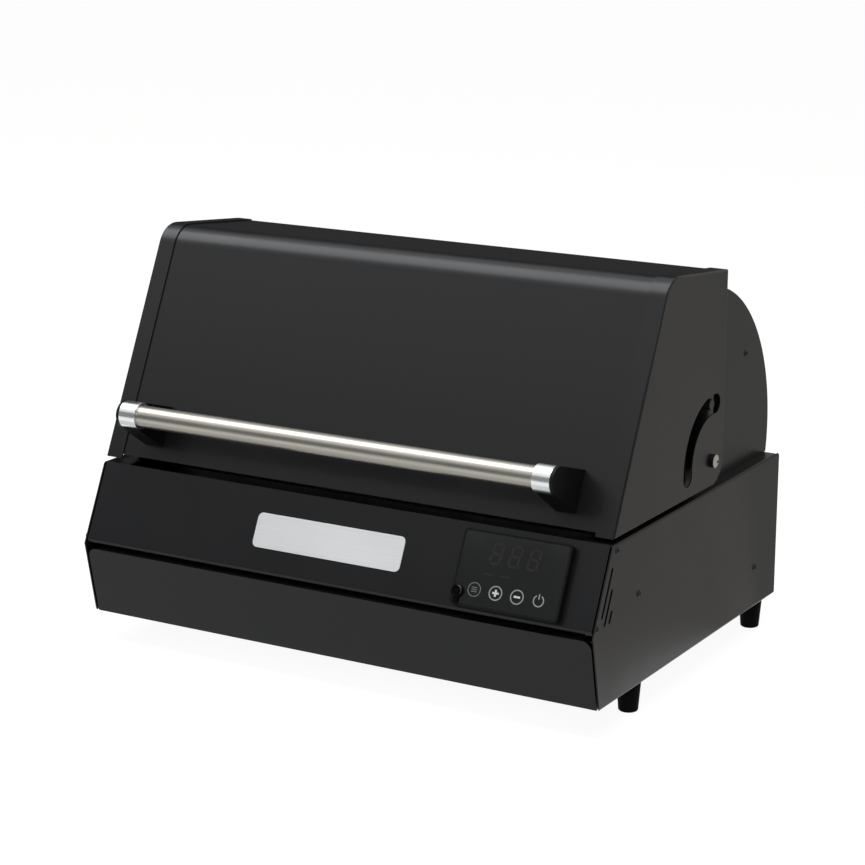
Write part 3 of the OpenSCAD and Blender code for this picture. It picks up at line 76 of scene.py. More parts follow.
toward_eye = Vector((
    math.sin(CAMERA_AZIMUTH) * math.cos(CAMERA_ELEVATION),
    -math.cos(CAMERA_AZIMUTH) * math.cos(CAMERA_ELEVATION),
    math.sin(CAMERA_ELEVATION),
))
camera_data = bpy.data.cameras.new("studio_camera")
camera_data.sensor_width = SENSOR_MM
camera_data.lens = LENS_MM
camera = bpy.data.objects.new("studio_camera", camera_data)
camera.location = CAMERA_AIM + CAMERA_DISTANCE * toward_eye
level_turn = toward_eye.to_track_quat("Z", "Y")
camera.rotation_euler = (level_turn @ Quaternion((0, 0, 1), CAMERA_ROLL)).to_euler()
bpy.context.collection.objects.link(camera)
bpy.context.scene.camera = camera
bpy.context.scene.view_settings.view_transform = "Standard"
print("camera at", [round(c, 3) for c in camera.location])

# %% [markdown]
# ## Meshes from arrays
# All new pieces share one habit: a numpy array of points goes in, and a mesh object comes out. A surface is a
# grid of points, rows by columns, so its faces follow from the grid's own indices. Rows or columns that close
# on themselves simply wrap round.

# %% Turn point grids into mesh objects
def grid_faces(rows, columns, wrap_rows=False, wrap_columns=False):
    """Quads of a grid: cell (i, j) joins points (i, j), (i, j+1), (i+1, j+1) and (i+1, j)."""
    i = np.arange(rows if wrap_rows else rows - 1)
    j = np.arange(columns if wrap_columns else columns - 1)
    i, j = np.meshgrid(i, j, indexing="ij")
    below, right = (i + 1) % rows, (j + 1) % columns
    corners = [i * columns + j, i * columns + right, below * columns + right, below * columns + j]
    return np.stack(corners, axis=-1).reshape(-1, 4)


def mesh_object(name, shells):
    """One object from several shells, each a pair of points (N, 3) and faces (M, 4)."""
    starts = np.cumsum([0] + [len(points) for points, _ in shells])
    points = np.concatenate([points for points, _ in shells])
    faces = np.concatenate([quads + start for (_, quads), start in zip(shells, starts)])
    mesh = bpy.data.meshes.new(name)
    mesh.from_pydata(points.tolist(), [], faces.tolist())
    mesh.validate()
    mesh.update()
    piece = bpy.data.objects.new(name, mesh)
    bpy.context.collection.objects.link(piece)
    return piece


print("a grid of 3 by 4 points has", len(grid_faces(3, 4)), "faces")

# %% [markdown]
# ## Studio
# The picture is a catalogue shot: white table, white background, no visible room. A lamp strong enough to
# burn the table out would also wash out the paint. Instead, the table and the background have two faces: one
# for the rays that light the grill, at a plain level, and a white one for the rays that see the background.

# %% White background
ROOM_LIGHT = 0.45


def math_node(tree, operation, *values):
    """One Math node: a socket among the values is linked, a number is set. Returns the result's socket."""
    node = tree.nodes.new("ShaderNodeMath")
    node.operation = operation
    for socket, value in zip(node.inputs, values):
        if isinstance(value, bpy.types.NodeSocket):
            tree.links.new(value, socket)
        else:
            socket.default_value = value
    return node.outputs[0]


def show_by_ray(tree, lighting, seen, output):
    """Gives one shader to camera, mirror and glass rays, which see the background, and one to all others."""
    path = tree.nodes.new("ShaderNodeLightPath")
    looks = math_node(tree, "MAXIMUM", path.outputs["Is Camera Ray"], path.outputs["Is Glossy Ray"])
    looks = math_node(tree, "MAXIMUM", looks, path.outputs["Is Transmission Ray"])
    mix = tree.nodes.new("ShaderNodeMixShader")
    tree.links.new(looks, mix.inputs["Fac"])
    tree.links.new(lighting.outputs[0], mix.inputs[1])
    tree.links.new(seen.outputs[0], mix.inputs[2])
    tree.links.new(mix.outputs[0], output.inputs["Surface"])


world = bpy.data.worlds.new("white_sweep")
world.use_nodes = True
world_tree = world.node_tree
world_tree.nodes.clear()
room_light = world_tree.nodes.new("ShaderNodeBackground")
room_light.inputs["Strength"].default_value = ROOM_LIGHT
white_sweep = world_tree.nodes.new("ShaderNodeBackground")
white_sweep.inputs["Color"].default_value = (1, 1, 1, 1)
show_by_ray(world_tree, room_light, white_sweep, world_tree.nodes.new("ShaderNodeOutputWorld"))
bpy.context.scene.world = world
print("white background, room light", ROOM_LIGHT)

# %% Table
TABLE_SIZE = 60.0
TABLE_COLOUR = (0.80, 0.79, 0.77, 1)
SHADOW_COLOUR = (0.14, 0.137, 0.132, 1)
TABLE_GLOW = 0.93

reach = np.array([-TABLE_SIZE / 2, TABLE_SIZE / 2])
table_x, table_y = np.meshgrid(reach, reach, indexing="ij")
table_points = np.stack([table_x, table_y, np.zeros_like(table_x)], axis=-1).reshape(-1, 3)
table = mesh_object("white_table", [(table_points, grid_faces(2, 2)[:, ::-1])])

table_paint = bpy.data.materials.new("white_table")
table_paint.use_nodes = True
table_tree = table_paint.node_tree
table_tree.nodes.clear()
table_diffuse = table_tree.nodes.new("ShaderNodeBsdfDiffuse")
table_diffuse.inputs["Color"].default_value = TABLE_COLOUR
shadow_catcher = table_tree.nodes.new("ShaderNodeBsdfDiffuse")
shadow_catcher.inputs["Color"].default_value = SHADOW_COLOUR
table_glow = table_tree.nodes.new("ShaderNodeEmission")
table_glow.inputs["Strength"].default_value = TABLE_GLOW
seen_table = table_tree.nodes.new("ShaderNodeAddShader")
table_tree.links.new(shadow_catcher.outputs[0], seen_table.inputs[0])
table_tree.links.new(table_glow.outputs[0], seen_table.inputs[1])
show_by_ray(table_tree, table_diffuse, seen_table, table_tree.nodes.new("ShaderNodeOutputMaterial"))
table.data.materials.append(table_paint)
print("table", TABLE_SIZE, "m wide")

# %% [markdown]
# ## Cards and softboxes
# Satin black paint shows little but what it mirrors, so the studio is built for its reflections. A long
# softbox hangs overhead and slightly to the left: the bend of the lid mirrors it as a bright line. A tall
# dark card behind keeps the level top dark, a low grey card in front fades the raked face from top to bottom,
# a flat card on the table tones the tray front down, and two warm flags do the same for the side panels. Only
# mirror and glass rays see the cards.

# %% Cards
CARD_LIFT = 4 * MM
CARD_COLUMNS = 49


def card(name, centre_y, radii, height, turn_from, turn_to, brightness, colour):
    """A curved card that stands, leans or lies on the table, seen only in mirrors and through glass.

    Its edges are (r cos t, centre_y + r sin t) for t in degrees, with one r at the table and one at the top.
    """
    turn = np.radians(np.linspace(turn_from, turn_to, CARD_COLUMNS))
    edge = np.outer(radii, np.ones_like(turn))
    card_z = np.outer([CARD_LIFT, height], np.ones_like(turn))
    points = np.stack([edge * np.cos(turn), centre_y + edge * np.sin(turn), card_z], axis=-1)
    screen = mesh_object(name, [(points.reshape(-1, 3), grid_faces(2, CARD_COLUMNS))])
    screen.visible_camera = False
    screen.visible_diffuse = False
    screen.visible_shadow = False
    paper = bpy.data.materials.new(name)
    paper.use_nodes = True
    paper.node_tree.nodes.clear()
    glow = paper.node_tree.nodes.new("ShaderNodeEmission")
    glow.inputs["Color"].default_value = (*colour, 1)
    glow.inputs["Strength"].default_value = brightness
    output = paper.node_tree.nodes.new("ShaderNodeOutputMaterial")
    paper.node_tree.links.new(glow.outputs[0], output.inputs["Surface"])
    screen.data.materials.append(paper)
    print(name, "at brightness", brightness)


card("dark_back_card", 0, (3.0, 3.0), 3.0, -62, 200, 0.045, (1, 1, 1))
card("grey_front_card", 4.0, (5.35, 5.35), 0.92, 246, 277, 0.28, (0.94, 0.97, 1.0))
card("side_flag", 0, (0.31, 0.50), 0.75, -25, 32, 0.47, (1.0, 0.97, 0.92))
card("rear_flag", 0, (0.35, 0.52), 0.75, 32, 75, 0.38, (1.0, 0.99, 0.92))
card("table_card", 4.0, (4.19, 4.42), 5 * MM, 260, 280, 0.75, (0.98, 0.99, 1.0))


# %% Softboxes
def softbox(name, place, tilt, turn, size, power, colour):
    """A rectangular area lamp: tilted up from facing straight down, then turned about the upright axis."""
    lamp = bpy.data.lights.new(name, "AREA")
    lamp.shape = "RECTANGLE"
    lamp.size, lamp.size_y = size
    lamp.energy = power
    lamp.color = colour
    holder = bpy.data.objects.new(name, lamp)
    holder.location = place
    holder.rotation_euler = (math.radians(tilt), 0, math.radians(turn))
    bpy.context.collection.objects.link(holder)
    print(name, power, "W")


softbox("overhead_softbox", (-0.6, -0.35, 2.1), 0, 0, (3.6, 1.4), 55, (0.93, 0.96, 1.0))
softbox("camera_fill", (1.5, -2.3, 1.5), 65, 33, (1.2, 1.0), 10, (0.98, 0.99, 1.0))

# %% [markdown]
# ## Soft edges
# Folded and sheared sheet never has a perfectly sharp edge, and a thin bright line along each edge is what
# makes painted steel look real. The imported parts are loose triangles. A small geometry node group welds them
# and shades them smooth, and a planar Decimate joins the flat triangles. The outer folds of the lid cheeks
# take a wide Bevel, as a press brake leaves them, and the sharp edges of most other parts a narrow one. All
# of these are live modifiers, so the part's own mesh stays as it was packed.

# %% Weld the loose triangles
WELD_DISTANCE = 0.01 * MM
FLAT_ANGLE = math.radians(0.5)


def geometry_chain(name, *kinds):
    """A geometry node group that passes its geometry through a row of nodes. Returns it and those nodes."""
    group = bpy.data.node_groups.new(name, "GeometryNodeTree")
    group.interface.new_socket("Geometry", in_out="INPUT", socket_type="NodeSocketGeometry")
    group.interface.new_socket("Geometry", in_out="OUTPUT", socket_type="NodeSocketGeometry")
    chain = [group.nodes.new(kind) for kind in ("NodeGroupInput", *kinds, "NodeGroupOutput")]
    for before, after in zip(chain, chain[1:]):
        group.links.new(before.outputs[0], after.inputs[0])
    return group, chain[1:-1]


def weld_group():
    """Geometry nodes: drop the stored normals, merge doubled points, shade smooth."""
    group, (drop, merge, _) = geometry_chain(
        "weld_and_smooth",
        "GeometryNodeRemoveAttribute", "GeometryNodeMergeByDistance", "GeometryNodeSetShadeSmooth")
    drop.inputs["Name"].default_value = "custom_normal"
    merge.inputs["Distance"].default_value = WELD_DISTANCE
    return group


def flatten(part):
    """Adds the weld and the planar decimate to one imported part."""
    part.modifiers.new("weld", "NODES").node_group = WELD
    planar = part.modifiers.new("flatten", "DECIMATE")
    planar.decimate_type = "DISSOLVE"
    planar.angle_limit = FLAT_ANGLE


WELD = weld_group()
print("weld group with", len(WELD.nodes), "nodes")

# %% Round the folds of the lid cheeks
EDGE_ANGLE = math.radians(30)
FOLDED = ("lid_cheek_left", "lid_cheek_right")
FOLD_ROUND = 1.8 * MM
FOLD_NEAR = 0.05 * MM
FOLD_REACH = 2 * MM
FOLD_STEPS = 4


def fold_group(outer):
    """Geometry nodes: edge weight 1 where a face on |x| = outer meets a face that reaches inwards, else 0.

    An edge's mean face centre takes half from each of its faces, so it lies well inside that plane only at a
    fold. All corners are marked as sharp, and the bevel then takes the place of those at the folds.
    """
    group, (store, crease) = geometry_chain(
        "mark_folds", "GeometryNodeStoreNamedAttribute", "GeometryNodeSetShadeSmooth")
    place = group.nodes.new("GeometryNodeInputPosition")
    split = group.nodes.new("ShaderNodeSeparateXYZ")
    group.links.new(place.outputs[0], split.inputs[0])
    across = math_node(group, "ABSOLUTE", split.outputs["X"])
    on_plane = math_node(group, "GREATER_THAN", across, outer - FOLD_NEAR)
    face_centre = group.nodes.new("GeometryNodeFieldOnDomain")
    face_centre.domain = "FACE"
    group.links.new(across, face_centre.inputs[0])
    inward = math_node(group, "LESS_THAN", face_centre.outputs[0], outer - FOLD_REACH)
    store.domain = "EDGE"
    store.inputs["Name"].default_value = "bevel_weight_edge"
    group.links.new(math_node(group, "MULTIPLY", on_plane, inward), store.inputs["Value"])
    angle = group.nodes.new("GeometryNodeInputMeshEdgeAngle")
    crease.domain = "EDGE"
    crease.inputs["Shade Smooth"].default_value = False
    sharp = math_node(group, "GREATER_THAN", angle.outputs["Unsigned Angle"], EDGE_ANGLE)
    group.links.new(sharp, crease.inputs["Selection"])
    return group


def round_folds(part):
    """Rounds only the outer folds of a part, by a wide bevel."""
    part.modifiers.new("mark_folds", "NODES").node_group = FOLDS
    fold = part.modifiers.new("fold", "BEVEL")
    fold.limit_method = "WEIGHT"
    fold.width = FOLD_ROUND
    fold.segments = FOLD_STEPS
    fold.use_clamp_overlap = False
    fold.loop_slide = False
    fold.harden_normals = True


FOLDS = fold_group(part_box("lid_cheek_right")[1][0])
for name in FOLDED:
    flatten(nodes[name])
    round_folds(nodes[name])
print(len(FOLDED), "parts with rounded folds")

# %% Soften the sharp edges of other parts
EDGE_ROUND = {
    "black_paint": 0.28, "stainless_sheet": 0.2, "polished_reflector": 0.15, "black_plastic": 0.5,
    "foot_rubber": 0.4, "bare_plate": 0.25, "panel_glass": 0.3,
}
EDGE_STEPS = 2
LARGE_FACES_FIRST = 100


def soften(part, width):
    """Rounds the sharp edges of a part by a narrow bevel, with normals weighted by face area."""
    bevel = part.modifiers.new("soft_edge", "BEVEL")
    bevel.limit_method = "ANGLE"
    bevel.angle_limit = EDGE_ANGLE
    bevel.width = width
    bevel.segments = EDGE_STEPS
    shading = part.modifiers.new("shading", "WEIGHTED_NORMAL")
    shading.mode = "FACE_AREA"
    shading.weight = LARGE_FACES_FIRST


slot_of = {part["node"]: part["material_slot"] for part in frame["record"]["subparts"]}
softened = [name for name in nodes if slot_of[name] in EDGE_ROUND and name not in FOLDED]
for name in softened:
    flatten(nodes[name])
    soften(nodes[name], EDGE_ROUND[slot_of[name]] * MM)
print(len(softened), "parts with soft edges")

# %% [markdown]
# ## Shared surface effects
# Three effects come back in many finishes, so each is a node group with its own inputs. `fine_grain` is the
# tiny pebble of powder coat, moulded plastic and rubber. `brushed_lines` are the parallel scratches of a belt
# or a lathe, made by stretching noise along one axis. `uneven_sheen` is the slow drift in gloss that every
# handled surface has. Groups give out only values: the shader itself stays in each material.

# %% Tools for node groups
def new_group(name, inputs, outputs):
    """An empty shader group with named sockets, and its two end nodes."""
    group = bpy.data.node_groups.new(name, "ShaderNodeTree")
    for label, kind, value in inputs:
        socket = group.interface.new_socket(label, in_out="INPUT", socket_type=kind)
        socket.default_value = value
    for label in outputs:
        group.interface.new_socket(label, in_out="OUTPUT", socket_type="NodeSocketFloat")
    return group, group.nodes.new("NodeGroupInput"), group.nodes.new("NodeGroupOutput")


def noise_on_object(group, detail):
    """Noise on Object coordinates, stretched by a Mapping node. Returns both nodes."""
    where = group.nodes.new("ShaderNodeTexCoord")
    stretch = group.nodes.new("ShaderNodeMapping")
    noise = group.nodes.new("ShaderNodeTexNoise")
    noise.inputs["Detail"].default_value = detail
    group.links.new(where.outputs["Object"], stretch.inputs["Vector"])
    group.links.new(stretch.outputs["Vector"], noise.inputs["Vector"])
    return stretch, noise


def map_range(group, noise, lowest, highest):
    """A Map Range node from (lowest, highest) of a noise to its own To Min and To Max, 0 and 1 at first."""
    spread = group.nodes.new("ShaderNodeMapRange")
    spread.inputs["From Min"].default_value = lowest
    spread.inputs["From Max"].default_value = highest
    group.links.new(noise.outputs["Fac"], spread.inputs["Value"])
    return spread


# %% Grain, brushing and sheen
ODD_GRAINS = (0.62, 0.75)
MOST_OF_NOISE = (0.3, 0.7)


def fine_grain_group():
    """Height is noise at Scale per metre. Fleck is 0 on most of the surface and 1 on the odd grain."""
    group, inside, outside = new_group(
        "fine_grain", [("Scale", "NodeSocketFloat", 1800.0)], ["Height", "Fleck"])
    _, noise = noise_on_object(group, detail=2)
    group.links.new(inside.outputs["Scale"], noise.inputs["Scale"])
    fleck = map_range(group, noise, *ODD_GRAINS)
    group.links.new(noise.outputs["Fac"], outside.inputs["Height"])
    group.links.new(fleck.outputs["Result"], outside.inputs["Fleck"])
    return group


def brushed_lines_group():
    """Noise scaled by Stretch per metre, so a low number along one axis draws lines that way."""
    group, inside, outside = new_group(
        "brushed_lines", [("Stretch", "NodeSocketVector", (8.0, 2500.0, 2500.0))], ["Height", "Streak"])
    stretch, noise = noise_on_object(group, detail=3)
    noise.inputs["Scale"].default_value = 1
    group.links.new(inside.outputs["Stretch"], stretch.inputs["Scale"])
    streak = map_range(group, noise, *MOST_OF_NOISE)
    group.links.new(noise.outputs["Fac"], outside.inputs["Height"])
    group.links.new(streak.outputs["Result"], outside.inputs["Streak"])
    return group


def uneven_sheen_group():
    """Roughness = Low + (High - Low) * cloud, where cloud is slow noise at Scale per metre."""
    group, inside, outside = new_group(
        "uneven_sheen",
        [("Low", "NodeSocketFloat", 0.3), ("High", "NodeSocketFloat", 0.4),
         ("Scale", "NodeSocketFloat", 12.0)],
        ["Roughness"])
    _, noise = noise_on_object(group, detail=4)
    group.links.new(inside.outputs["Scale"], noise.inputs["Scale"])
    cloud = map_range(group, noise, *MOST_OF_NOISE)
    group.links.new(inside.outputs["Low"], cloud.inputs["To Min"])
    group.links.new(inside.outputs["High"], cloud.inputs["To Max"])
    group.links.new(cloud.outputs["Result"], outside.inputs["Roughness"])
    return group


FINE_GRAIN = fine_grain_group()
BRUSHED_LINES = brushed_lines_group()
UNEVEN_SHEEN = uneven_sheen_group()
print("node groups:", [group.name for group in (FINE_GRAIN, BRUSHED_LINES, UNEVEN_SHEEN)])

# %% [markdown]
# ## Finishes
# A finish here is a Principled shader with three things on it: two close tones mixed by a pattern, a
# roughness that drifts, and a small bump. `finish` builds that from plain numbers, so each material below
# reads like a line in a paint shop's book. What is the same all over, such as metallic, is set on the shader
# itself.

# %% A finish from two tones, a sheen and a bump
SHEEN_SCALE = 12.0


def place_group(tree, group, **values):
    """Puts a node group into a material with its own input values."""
    node = tree.nodes.new("ShaderNodeGroup")
    node.node_tree = group
    for label, value in values.items():
        node.inputs[label].default_value = value
    return node


def finish(name, dark, light, rough, pattern, pattern_values, mask, bump, **constants):
    """Base Color = mix(dark, light, pattern mask), Roughness = drifting sheen, Normal = bump of the pattern.

    bump is (strength, depth in metres). constants go straight onto the shader's own sockets.
    """
    material = bpy.data.materials.new(name)
    material.use_nodes = True
    tree = material.node_tree
    shader = tree.nodes["Principled BSDF"]
    for label, value in constants.items():
        shader.inputs[label.replace("_", " ")].default_value = value
    surface = place_group(tree, pattern, **pattern_values)
    tone = tree.nodes.new("ShaderNodeMix")
    tone.data_type = "RGBA"
    tone.inputs["A"].default_value = (*dark, 1)
    tone.inputs["B"].default_value = (*light, 1)
    tree.links.new(surface.outputs[mask], tone.inputs["Factor"])
    tree.links.new(tone.outputs["Result"], shader.inputs["Base Color"])
    sheen = place_group(tree, UNEVEN_SHEEN, Low=rough[0], High=rough[1], Scale=SHEEN_SCALE)
    tree.links.new(sheen.outputs["Roughness"], shader.inputs["Roughness"])
    height = tree.nodes.new("ShaderNodeBump")
    height.inputs["Strength"].default_value = bump[0]
    height.inputs["Distance"].default_value = bump[1]
    tree.links.new(surface.outputs["Height"], height.inputs["Height"])
    tree.links.new(height.outputs["Normal"], shader.inputs["Normal"])
    return material


# %% The paint shop's book
ALONG_X = (6.0, 2600.0, 2600.0)
ALONG_Y = (2600.0, 6.0, 2600.0)
ALL_WAYS = (1200.0, 1200.0, 1200.0)

FINISHES = {
    "black_paint": finish(
        "satin_black_powder_coat", (0.0056, 0.0056, 0.0064), (0.0085, 0.0085, 0.0095), (0.27, 0.33),
        FINE_GRAIN, {"Scale": 1500.0}, "Fleck", (0.16, 0.05 * MM), Specular_IOR_Level=0.34),
    "foot_rubber": finish(
        "matte_black_rubber", (0.0016, 0.0016, 0.0016), (0.0036, 0.0036, 0.0036), (0.60, 0.74),
        FINE_GRAIN, {"Scale": 900.0}, "Fleck", (0.3, 0.08 * MM), Specular_IOR_Level=0.05),
    "black_screw": finish(
        "black_oxide_screw", (0.012, 0.012, 0.012), (0.035, 0.034, 0.033), (0.28, 0.42),
        FINE_GRAIN, {"Scale": 2600.0}, "Fleck", (0.12, 0.03 * MM), Metallic=0.4),
    "bright_screw": finish(
        "bright_stainless_screw", (0.52, 0.51, 0.49), (0.68, 0.67, 0.65), (0.16, 0.28),
        BRUSHED_LINES, {"Stretch": ALL_WAYS}, "Streak", (0.05, 0.02 * MM), Metallic=1.0),
    "black_plastic": finish(
        "moulded_black_plastic", (0.0022, 0.0022, 0.0024), (0.0045, 0.0045, 0.0048), (0.42, 0.52),
        FINE_GRAIN, {"Scale": 1300.0}, "Fleck", (0.22, 0.06 * MM), Specular_IOR_Level=0.18),
    "stainless_sheet": finish(
        "brushed_stainless_sheet", (0.44, 0.43, 0.41), (0.56, 0.55, 0.53), (0.26, 0.38),
        BRUSHED_LINES, {"Stretch": ALONG_X}, "Streak", (0.10, 0.03 * MM), Metallic=1.0),
    "polished_reflector": finish(
        "polished_reflector", (0.70, 0.70, 0.70), (0.78, 0.78, 0.78), (0.08, 0.16),
        BRUSHED_LINES, {"Stretch": ALONG_Y}, "Streak", (0.03, 0.02 * MM), Metallic=1.0),
    "ceramic": finish(
        "ivory_ceramic", (0.72, 0.69, 0.62), (0.82, 0.79, 0.72), (0.30, 0.45),
        FINE_GRAIN, {"Scale": 700.0}, "Fleck", (0.15, 0.05 * MM)),
    "panel_glass": finish(
        "smoked_panel_glass", (0.0070, 0.0076, 0.0070), (0.0084, 0.0090, 0.0084), (0.10, 0.16),
        FINE_GRAIN, {"Scale": 60.0}, "Fleck", (0.01, 0.02 * MM), Specular_IOR_Level=0.5),
    "circuit_board": finish(
        "solder_mask", (0.016, 0.075, 0.036), (0.030, 0.120, 0.060), (0.28, 0.42),
        FINE_GRAIN, {"Scale": 500.0}, "Fleck", (0.2, 0.05 * MM)),
    "bare_plate": finish(
        "brushed_silver_plate", (0.88, 0.885, 0.885), (0.95, 0.955, 0.955), (0.36, 0.44),
        BRUSHED_LINES, {"Stretch": ALONG_X}, "Streak", (0.06, 0.02 * MM), Metallic=0.75),
    "brushed_tube": finish(
        "brushed_handle_tube", (0.36, 0.342, 0.302), (0.46, 0.437, 0.387), (0.26, 0.34),
        BRUSHED_LINES, {"Stretch": ALONG_X}, "Streak", (0.05, 0.02 * MM), Metallic=1.0),
    "bright_chrome": finish(
        "bright_chrome", (0.76, 0.78, 0.77), (0.84, 0.86, 0.85), (0.20, 0.26),
        FINE_GRAIN, {"Scale": 90.0}, "Fleck", (0.01, 0.02 * MM), Metallic=1.0),
    "grate_steel": finish(
        "stainless_grate_rod", (0.34, 0.33, 0.31), (0.46, 0.45, 0.43), (0.26, 0.40),
        FINE_GRAIN, {"Scale": 1600.0}, "Fleck", (0.12, 0.04 * MM), Metallic=1.0),
    "quartz": finish(
        "clear_quartz", (0.90, 0.88, 0.85), (0.94, 0.93, 0.91), (0.08, 0.16),
        FINE_GRAIN, {"Scale": 120.0}, "Fleck", (0.02, 0.02 * MM), Transmission_Weight=0.85, IOR=1.46),
}

for name, part in nodes.items():
    part.data.materials.clear()
    part.data.materials.append(FINISHES[slot_of[name]])
print(len(FINISHES), "finishes on", len(nodes), "parts")

# %% [markdown]
# ## Finding the front panel
# The digits and touch marks lie on a leaning face. The rubber plug is pulled straight out of that face, so
# the joint's axis in the record is the face's own normal. Measuring every point along x, along the slope and
# along the normal turns the leaning panel into a flat drawing board.

# %% Drawing board on the raked front
pull = next(joint for joint in frame["joints"] if joint["name"] == "probe_plug_pull")
NORMAL = np.array(pull["axis"], float)
ACROSS = np.array([1.0, 0.0, 0.0])
UP_SLOPE = np.cross(NORMAL, ACROSS)
BOARD = np.stack([ACROSS, UP_SLOPE, NORMAL])


def node_points(name):
    """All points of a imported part, as an (N, 3) array in metres."""
    flat = np.empty(len(nodes[name].data.vertices) * 3)
    nodes[name].data.vertices.foreach_get("co", flat)
    return flat.reshape(-1, 3)


def board_box(name):
    """Lowest and highest (across, up, out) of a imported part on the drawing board."""
    drawn = node_points(name) @ BOARD.T
    return drawn.min(axis=0), drawn.max(axis=0)


glass_low, glass_high = board_box("control_glass")
print("glass", np.round((glass_high - glass_low) / MM, 2), "mm across, up and thick")

# %% [markdown]
# ## Printed marks
# The real panel has touch marks printed behind smoked glass and a three-digit display that stays dark until
# the grill is switched on. Text objects would need a font, and images aren't used here. Every mark is instead
# a ribbon: a path with a width, lifted a hair off the glass. A ring is a closed path, a dot is a path whose
# width follows a circle, and a display segment is a straight path that tapers at its ends.

# %% A ribbon along a path
PRINT_SUNK = 0.05 * MM
PRINT_PROUD = 0.06 * MM


def ribbon(path, width, closed=False):
    """Band on the drawing board: each path point is widened by half its width to both sides.

    The section is a rectangle from just below the glass to just above it. Open ends are capped.
    """
    path = np.asarray(path, float)
    half = np.broadcast_to(np.asarray(width, float) / 2, len(path))[:, None]
    ahead = np.roll(path, -1, axis=0) - np.roll(path, 1, axis=0) if closed else np.gradient(path, axis=0)
    ahead /= np.linalg.norm(ahead, axis=1)[:, None]
    side = np.stack([-ahead[:, 1], ahead[:, 0]], axis=-1) * half
    section = np.stack([path + side, path - side, path - side, path + side], axis=1)
    out = glass_high[2] + np.array([-PRINT_SUNK, -PRINT_SUNK, PRINT_PROUD, PRINT_PROUD])
    out = np.broadcast_to(out[None, :, None], (len(path), 4, 1))
    points = np.concatenate([section, out], axis=-1).reshape(-1, 3) @ BOARD
    faces = grid_faces(len(path), 4, wrap_rows=closed, wrap_columns=True)[:, ::-1]
    if not closed:
        last = 4 * (len(path) - 1)
        caps = np.array([[0, 1, 2, 3], [last + 3, last + 2, last + 1, last]])
        faces = np.concatenate([faces, caps])
    return points, faces


# %% Bars, arcs and dots
FULL_TURN = 2 * math.pi
BAR_STEPS = 3
ARC_STEPS = 64
DOT_STEPS = 13
DOT_REACH = 0.96


def bar(start, end, width):
    """Straight ribbon between two points."""
    return ribbon(np.linspace(start, end, BAR_STEPS), width)


def arc(centre, radius, width, start, sweep):
    """Ribbon along centre + radius (cos t, sin t): closed when t sweeps a full turn."""
    closed = sweep >= FULL_TURN
    turn = start + np.linspace(0, sweep, ARC_STEPS, endpoint=not closed)
    path = np.asarray(centre) + radius * np.stack([np.cos(turn), np.sin(turn)], axis=-1)
    return ribbon(path, width, closed)


def dot(centre, radius):
    """Disc as a ribbon: at distance d from the middle its width is 2 * sqrt(radius^2 - d^2)."""
    d = radius * np.sin(np.linspace(-DOT_REACH, DOT_REACH, DOT_STEPS) * math.pi / 2)
    path = np.asarray(centre) + np.stack([d, np.zeros_like(d)], axis=-1)
    return ribbon(path, 2 * np.sqrt(radius**2 - d**2))


print("faces of a bar:", len(bar((0, 0), (MM, 0), MM)[1]), "and of a dot:", len(dot((0, 0), MM)[1]))

# %% Finishes for the marks
def mark_finish(name, dark, light):
    """Flat ink with a faint grain."""
    return finish(name, dark, light, (0.35, 0.5), FINE_GRAIN, {"Scale": 2200.0}, "Height", (0.05, 0.01 * MM),
                  Specular_IOR_Level=0.35)


def mark_piece(name, shells, material):
    """A finished mark that rides with the base."""
    piece = mesh_object(name, shells)
    piece.data.materials.append(material)
    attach(piece, "base")
    print(name, len(piece.data.polygons), "faces")


PALE_INK = mark_finish("pale_touch_ink", (0.56, 0.56, 0.57), (0.70, 0.70, 0.71))
DIM_INK = mark_finish("dim_touch_ink", (0.12, 0.12, 0.12), (0.17, 0.17, 0.17))
SOFT_INK = mark_finish("soft_touch_ink", (0.26, 0.26, 0.265), (0.34, 0.34, 0.345))
UNLIT_SEGMENT = mark_finish("unlit_segment", (0.0098, 0.0091, 0.0058), (0.0118, 0.0110, 0.0070))
print("inks:", [ink.name for ink in (PALE_INK, DIM_INK, SOFT_INK, UNLIT_SEGMENT)])

# %% Touch marks in a row
MARK_COUNT = 4
MARK_FROM_LEFT = 18.9 * MM
MARK_PITCH = 20.2 * MM
MARK_UP = 13.4 * MM
RING_RADIUS = 5.8 * MM
RING_STROKE = 1.0 * MM
GLYPH_HALF = 3.0 * MM
GLYPH_STROKE = 1.7 * MM
RIGHT, UP = np.array([1.0, 0.0]), np.array([0.0, 1.0])

programme, plus, minus, power = [
    np.array([glass_low[0] + MARK_FROM_LEFT + i * MARK_PITCH, glass_low[1] + MARK_UP])
    for i in range(MARK_COUNT)]

pale = [
    bar(plus - GLYPH_HALF * RIGHT, plus + GLYPH_HALF * RIGHT, GLYPH_STROKE),
    bar(plus + GLYPH_STROKE / 2 * UP, plus + GLYPH_HALF * UP, GLYPH_STROKE),
    bar(plus - GLYPH_HALF * UP, plus - GLYPH_STROKE / 2 * UP, GLYPH_STROKE),
    bar(minus - GLYPH_HALF * RIGHT, minus + GLYPH_HALF * RIGHT, GLYPH_STROKE),
]
mark_piece("touch_marks", pale, PALE_INK)

# %% Rings and the power mark
POWER_RADIUS = 0.8 * RING_RADIUS
POWER_FROM = math.radians(120)
POWER_SWEEP = math.radians(300)
POWER_BAR_FOOT = 1.2 * MM

soft = [
    arc(plus, RING_RADIUS, RING_STROKE, 0, FULL_TURN),
    arc(minus, RING_RADIUS, RING_STROKE, 0, FULL_TURN),
    arc(power, POWER_RADIUS, RING_STROKE, POWER_FROM, POWER_SWEEP),
    bar(power + POWER_BAR_FOOT * UP, power + RING_RADIUS * UP, RING_STROKE),
]
mark_piece("touch_rings", soft, SOFT_INK)

